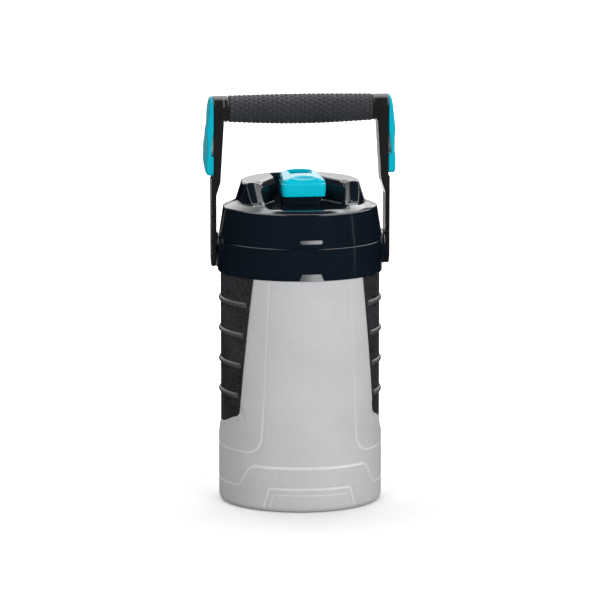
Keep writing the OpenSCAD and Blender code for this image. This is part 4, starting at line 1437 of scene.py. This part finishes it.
@dataclass(frozen=True)
class HandleArm:
    """One black arm of the bail handle, from its pivot strap to its ferrule.

    Attributes:
        side: Side of the jug.
        section: Corners seen from the front, as X and height.
        half: Half depth, front to back.
        foot: Height of the middle of the rounded lower end.
        pin: Radii of the pivot bore and of the recess for the pin's head, and the recess's depth in X.
        ferrule: Inner end and radius of the ferrule.
        core: Radius and inner end of the bar's socket.
        screw: Radii of the screw's hole and of its head's recess, and the recess's X.
    """

    side: Side
    section: tuple[Pair, ...] = (
        (67.6, 188.5), (67.6, 246.0), (64.3, 256.5), (61.5, 303.0), (61.5, 324.6), (70.0, 324.6), (70.0, 261.0),
        (71.2, 259.0), (71.2, 188.5))
    half: float = 8.5
    foot: float = 197.0
    pin: Point = (4.06, 6.56, 69.6)
    ferrule: Pair = (57.5, 10.4)
    core: Pair = (7.52, 66.02)
    screw: Point = (2.1, 3.7, 67.6)

    def shape(self, at: Places) -> Array:
        """Distance from the right arm.

        Args:
            at: Places as X, Y and height.

        Returns:
            Distances, negative inside.
        """
        x, y, z = at
        around = np.hypot(y, z - BAR)
        strap = np.maximum(np.hypot(y, np.minimum(z - self.foot, 0.0)) - self.half, z - BAR)
        outline = soft_min(around - self.ferrule[1], strap, 3.0)
        arm = soft_max(outline_distance(x, z, self.section), outline, 1.8)
        ring = soft_max(around - self.ferrule[1], np.maximum(self.ferrule[0] - x, x - self.section[5][0]), 1.4)
        pin = np.where(x > self.pin[2], self.pin[1], self.pin[0]) - np.hypot(y, z - PIVOT)
        screw = np.where(x > self.screw[2], self.screw[1], self.screw[0])
        core = np.where(x < self.core[1], self.core[0], screw) - around
        return np.maximum(soft_min(arm, ring, 1.0), np.maximum(pin, core))

    def build(self) -> Piece:
        """Makes the arm and dresses it."""
        skin = Moulding(self.shape, (56.8, -11.3, 187.7), (72.0, 11.3, 325.5), 0.5).skin().on(self.side)
        return dress(skin.to_object(self.side.called("arm_moulding")), Body.HANDLE, BLACK, self.side.called("arm"))


@dataclass(frozen=True)
class FenceHook:
    """Teal hook on the outer face of one arm, with a slot between them for a fence wire.

    Attributes:
        side: Side of the jug.
        inner: Height and X of the face towards the arm, from the foot up.
        outer: Height and X of the outer face, from the foot up.
        end: Radius of the round end at the bar.
        waist: Angle at which the round end runs into the back, in degrees.
        draw: Two steps, as Y and height, from the curve's ends to its control points.
        bulge: Y and height of the back's furthest point.
        heel: Angle of the heel's curve, in degrees.
        front: Y of the front edge.
        low: Height of the lower edge.
        corner: Radius of the lower front corner.
    """

    side: Side
    inner: tuple[Pair, ...] = ((277.0, 70.02), (278.0, 71.8), (283.0, 71.8), (297.0, 70.02))
    outer: tuple[Pair, ...] = (
        (262.0, 75.0), (264.0, 75.6), (274.0, 75.6), (280.0, 74.9), (291.0, 74.9), (297.0, 75.4), (321.6, 72.6),
        (324.6, 71.8))
    end: float = 10.4
    waist: float = 50.0
    draw: tuple[Pair, Pair] = ((-7.0, -8.0), (0.0, 6.0))
    bulge: Pair = (24.0, 283.0)
    heel: float = 80.0
    front: float = -9.0
    low: float = 262.0
    corner: float = 4.0

    def outline(self) -> list[Pair]:
        """Side view of the hook.

        Returns:
            Its corners, as Y and height.
        """
        end = arc((0.0, BAR), self.end, 180.0, -self.waist, 32)
        a, d = np.array(end[-1]), np.array(self.bulge)
        b, c = a + self.draw[0], d + self.draw[1]
        back = [(1 - t) ** 3 * a + 3 * t * (1 - t) ** 2 * b + 3 * t * t * (1 - t) * c + t**3 * d
                for t in np.linspace(0.0, 1.0, 21)[1:]]
        turns = np.radians(np.linspace(0.0, self.heel, 16)[1:])
        heel = [(self.front + (d[0] - self.front) * math.cos(t), d[1] - (d[1] - self.low) * math.sin(t)) for t in turns]
        toe = arc((self.front + self.corner, self.low + self.corner), self.corner, 270.0, 180.0, 8)
        return [*end, *back, *heel, *toe]

    def shape(self, at: Places) -> Array:
        """Distance from the right hook.

        Args:
            at: Places as X, Y and height.

        Returns:
            Distances, negative inside.
        """
        x, y, z = at
        outer, inner = (np.interp(z, *zip(*face)) for face in (self.outer, self.inner))
        face = soft_max(outline_distance(y, z, self.outline()), (x - outer) * 0.95, 1.8)
        return soft_max(face, (inner - x) * 0.7, 0.6)

    def build(self) -> Piece:
        """Makes the hook and dresses it."""
        skin = Moulding(self.shape, (69.4, -11.2, 261.2), (76.4, 24.8, 325.4), 0.44).skin().on(self.side)
        return dress(skin.to_object(self.side.called("hook_moulding")), Body.HANDLE, HOOK, self.side.called("hook"))


@dataclass(frozen=True)
class GripSleeve:
    """Rubber sleeve on the handle's bar, covered with small bumps.

    Attributes:
        half: Half length.
        middle: Radius over the bumps at the middle.
        end: Radius over the bumps at the ends.
        sag: How far the middle hangs below the bar's axis.
        bore: Radius of the bore.
        bump: Size of a bump along, across and out.
        rows: Number of rows of bumps.
        around: Number of bumps in a row.
    """

    half: float = 57.4
    middle: float = 12.0
    end: float = 10.7
    sag: float = 0.6
    bore: float = 7.52
    bump: Point = (1.75, 1.75, 0.6)
    rows: int = 31
    around: int = 17

    def tube(self) -> Skin:
        """The sleeve under the bumps.

        Returns:
            Its skin.
        """
        along = np.linspace(-1.0, 1.0, 49) * (self.half - 1.0)
        radius = between((self.end, self.middle), np.cos(0.5 * np.pi * along / self.half)) - self.bump[2]
        wall = list(zip(radius, along))
        low, high = (self.bore, -self.half), (self.bore, self.half)
        profile = rounded([low, (radius[0] - 0.3, -self.half), wall[1]], 1.0, 6)[:-1] + wall[1:-1]
        profile += rounded([wall[-2], (radius[-1] - 0.3, self.half), high], 1.0, 6)[1:]
        turned = Skin.turned([*profile, low], 96)
        points = np.roll(turned.points, 1, 1)
        points[:, 2] += BAR - self.sag * np.cos(0.5 * np.pi * points[:, 0] / self.half)
        return Skin(points, turned.faces, np.roll(turned.normals, 1, 1))

    def build(self) -> list[Piece]:
        """Makes the sleeve and its bumps.

        Returns:
            The dressed pieces.
        """
        bumps = BumpTree("sleeve_bump_rows").grown("sleeve_bumps", {
            "Rows": self.rows, "Around": self.around, "Half Length": (self.half - 1.9) * MM,
            "Middle Radius": (self.middle - self.bump[2]) * MM, "End Radius": (self.end - self.bump[2]) * MM,
            "Height": BAR * MM, "Sag": self.sag * MM, "Bump Size": tuple(s * MM for s in self.bump)}, SLEEVE)
        return [dress(self.tube().to_object("sleeve_tube"), Body.HANDLE, SLEEVE, "grip_sleeve"),
                dress(bumps, Body.HANDLE, SLEEVE)]


@dataclass(frozen=True)
class InnerParts:
    """CAD nodes that are shown as they are, with a finish each.

    Attributes:
        finishes: Finish of each node.
    """

    finishes: tuple[tuple[str, Finish], ...] = (
        ("foam_core", FOAM), ("lid_foam", FOAM), ("inner_liner", WHITE), ("lid_liner", WHITE), ("spout_nut", WHITE),
        ("base_plug", SILVER), ("left_pivot_pin", BLACK), ("right_pivot_pin", BLACK), ("grip_core", BLACK),
        ("core_screws", STEEL), ("cap_hinge_pin", STEEL), ("lid_gasket", SEAL), ("spout_seal", SEAL),
        ("cap_seal", SEAL))

    def dress(self) -> None:
        """Gives each node its finish."""
        for name, finish in self.finishes:
            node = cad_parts[name]
            node.data.materials.clear()
            node.data.materials.append(finish.material())
            LOG.info("%s: CAD node in %s", name, finish.name)


@dataclass(frozen=True)
class Studio:
    """Camera, lights, floor and backdrop, in metres.

    Attributes:
        distance: Level distance of the camera.
        azimuth: Angle of the camera from the front, in degrees.
        height: Height of the camera.
        aim: Heights that the camera and the lights point at.
        lens: Focal length and width of the camera's sensor, in millimetres.
        lamps: Name, place, size and power of each soft light, and whether gloss shows it.
        ambient: Light from the backdrop.
        mirrored: Brightness of the backdrop and of the side screens in reflections.
        floor_glow: How far the floor is lifted towards white for the camera, near the jug and away from it.
        floor_paint: Greys of the floor for the camera and for the light that it throws back.
        floor_reach: Half width of the floor.
    """

    distance: float = 2.96
    azimuth: float = -8.0
    height: float = 0.64
    aim: Pair = (0.16, 0.15)
    lens: Pair = (225.4, 36.0)
    lamps: tuple[tuple[str, Point, Pair, float, bool], ...] = (
        ("overhead", (0.0, 0.62, 1.7), (1.5, 1.3), 18.0, True),
        ("front_left", (-1.1, -1.7, 0.9), (1.0, 1.4), 10.6, False),
        ("front_right", (0.95, -1.8, 0.6), (1.0, 1.4), 22.8, False),
        ("strip_right", (1.43, -0.45, 0.3), (0.035, 0.9), 0.1, True))
    ambient: float = 0.42
    mirrored: Pair = (1.8, 3.0)
    floor_glow: Pair = (0.09, 1.0)
    floor_paint: Pair = (0.97, 0.8)
    floor_reach: float = 6.0

    @staticmethod
    def placed(name: str, data: bpy.types.ID, place: Point, aim: float) -> Piece:
        """Sets up a camera or a light that points at the jug's axis.

        Args:
            name: Its name.
            data: Its data.
            place: Its place.
            aim: Height that it points at.

        Returns:
            The object.
        """
        made = bpy.data.objects.new(name, data)
        made.location = place
        made.rotation_euler = (Vector((0.0, 0.0, aim)) - made.location).to_track_quat("-Z", "Y").to_euler()
        bpy.context.scene.collection.objects.link(made)
        return made

    def camera(self) -> None:
        """Sets the camera at the photo's angle."""
        data = bpy.data.cameras.new("photo_camera")
        data.lens, data.sensor_width = self.lens
        turn = math.radians(self.azimuth)
        place = (self.distance * math.sin(turn), -self.distance * math.cos(turn), self.height)
        bpy.context.scene.camera = self.placed("photo_camera", data, place, self.aim[0])

    def lights(self) -> None:
        """Sets the overhead, front and side lights."""
        for name, place, size, power, glossy in self.lamps:
            data = bpy.data.lights.new(name, "AREA")
            data.shape, data.size, data.size_y, data.energy = "RECTANGLE", *size, power
            self.placed(name, data, place, self.aim[1]).visible_glossy = glossy

    @staticmethod
    def behind(graph: Graph, across: Socket, deep: Socket) -> Socket:
        """How far a place or a direction lies straight behind the jug.

        Args:
            graph: Tree to add to.
            across: Its part along X.
            deep: Its part along Y.

        Returns:
            1 behind the jug and 0 elsewhere.
        """
        flat = graph.sum("SQRT", graph.sum("MULTIPLY_ADD", across, across, graph.sum("MULTIPLY", deep, deep)))
        share = graph.sum("DIVIDE", deep, graph.sum("MAXIMUM", flat, 0.001))
        return graph.span(share, (0.82, 0.94), smooth=True)

    def backdrop(self) -> None:
        """Sets a white backdrop, of which gloss mirrors only the part behind the jug and a screen at each side."""
        world = bpy.data.worlds.new("studio_white")
        bpy.context.scene.world = world
        graph = Graph(world)
        path = graph.add("ShaderNodeLightPath").outputs
        x, y, z = graph.parts(graph.add("ShaderNodeTexCoord").outputs["Generated"])
        clear = graph.sum("MAXIMUM", graph.span(x, (-0.03, 0.04), smooth=True), graph.span(z, (0.1, 0.2), smooth=True))
        back = self.behind(graph, x, y)
        for share in (graph.span(z, (0.42, 0.86), (self.mirrored[0], 0.0), True), clear,
                      graph.span(z, (0.1, 0.25), (0.42, 1.0), True)):
            back = graph.sum("MULTIPLY", back, share)
        raised = graph.sum("ADD", z, graph.span(x, (-0.2, 0.2), (0.0, 0.24)))
        side = graph.span(graph.sum("ABSOLUTE", x), (0.26, 0.4), (0.0, self.mirrored[1]), True)
        for share in (graph.span(raised, (0.53, 0.7), smooth=True), graph.span(z, (0.93, 0.97), (1.0, 0.0), True)):
            side = graph.sum("MULTIPLY", side, share)
        plain, shown, mirror = (
            graph.get("ShaderNodeBackground", {"Color": (1.0, 1.0, 1.0, 1.0), "Strength": strength})
            for strength in (self.ambient, 1.0, graph.sum("ADD", back, side)))
        gloss = graph.shader(path["Is Glossy Ray"], plain, mirror)
        graph.add("ShaderNodeOutputWorld", {"Surface": graph.shader(path["Is Camera Ray"], gloss, shown)})

    def floor(self) -> None:
        """Lays a pale floor that keeps the jug's soft shadow and runs out into white."""
        mesh = bpy.data.meshes.new("floor")
        corners = ((-1, -1), (1, -1), (1, 1), (-1, 1))
        mesh.from_pydata([(self.floor_reach * x, self.floor_reach * y, 0.0) for x, y in corners], [], [(0, 1, 2, 3)])
        made = bpy.data.objects.new("floor", mesh)
        bpy.context.scene.collection.objects.link(made)
        material = bpy.data.materials.new("floor_white")
        graph = Graph(material)
        path = graph.add("ShaderNodeLightPath").outputs
        place = graph.add("ShaderNodeTexCoord").outputs["Object"]
        x, y, _ = graph.parts(place)
        far = graph.add("ShaderNodeVectorMath", {0: place}, operation="LENGTH").outputs["Value"]
        edge = graph.span(graph.sum("MULTIPLY_ADD", y, 0.14, x), (0.03, 0.09), (0.0, self.mirrored[0]), True)
        back = graph.sum("MULTIPLY", self.behind(graph, x, y), edge)
        lift, mirror = (graph.get("ShaderNodeEmission", {"Color": (1.0, 1.0, 1.0, 1.0), "Strength": strength})
                        for strength in (graph.span(far, (0.1, 0.5), self.floor_glow, True), back))
        tint, paint = (graph.get("ShaderNodeBsdfDiffuse", {"Color": (grey, grey, grey, 1.0)})
                       for grey in self.floor_paint)
        shown = graph.get("ShaderNodeAddShader", {0: tint, 1: lift})
        gloss = graph.shader(path["Is Glossy Ray"], paint, mirror)
        graph.add("ShaderNodeOutputMaterial", {"Surface": graph.shader(path["Is Camera Ray"], gloss, shown)})
        mesh.materials.append(material)

    def build(self) -> None:
        """Sets up the whole studio."""
        self.camera()
        self.lights()
        self.backdrop()
        self.floor()
        bpy.context.scene.view_settings.view_transform = "Standard"


def main() -> None:
    """Builds every sub-assembly, then the studio."""
    logging.basicConfig(level=logging.INFO, format="%(name)s: %(message)s")
    for part in (JugBody(), Collar(), Lid(), Spout(), FlipCap(), GripSleeve()):
        part.build()
    for side in Side:
        SideGrip(side).build()
        HandleArm(side).build()
        FenceHook(side).build()
    InnerParts().dress()
    Studio().build()


if __name__ == "__main__":
    main()
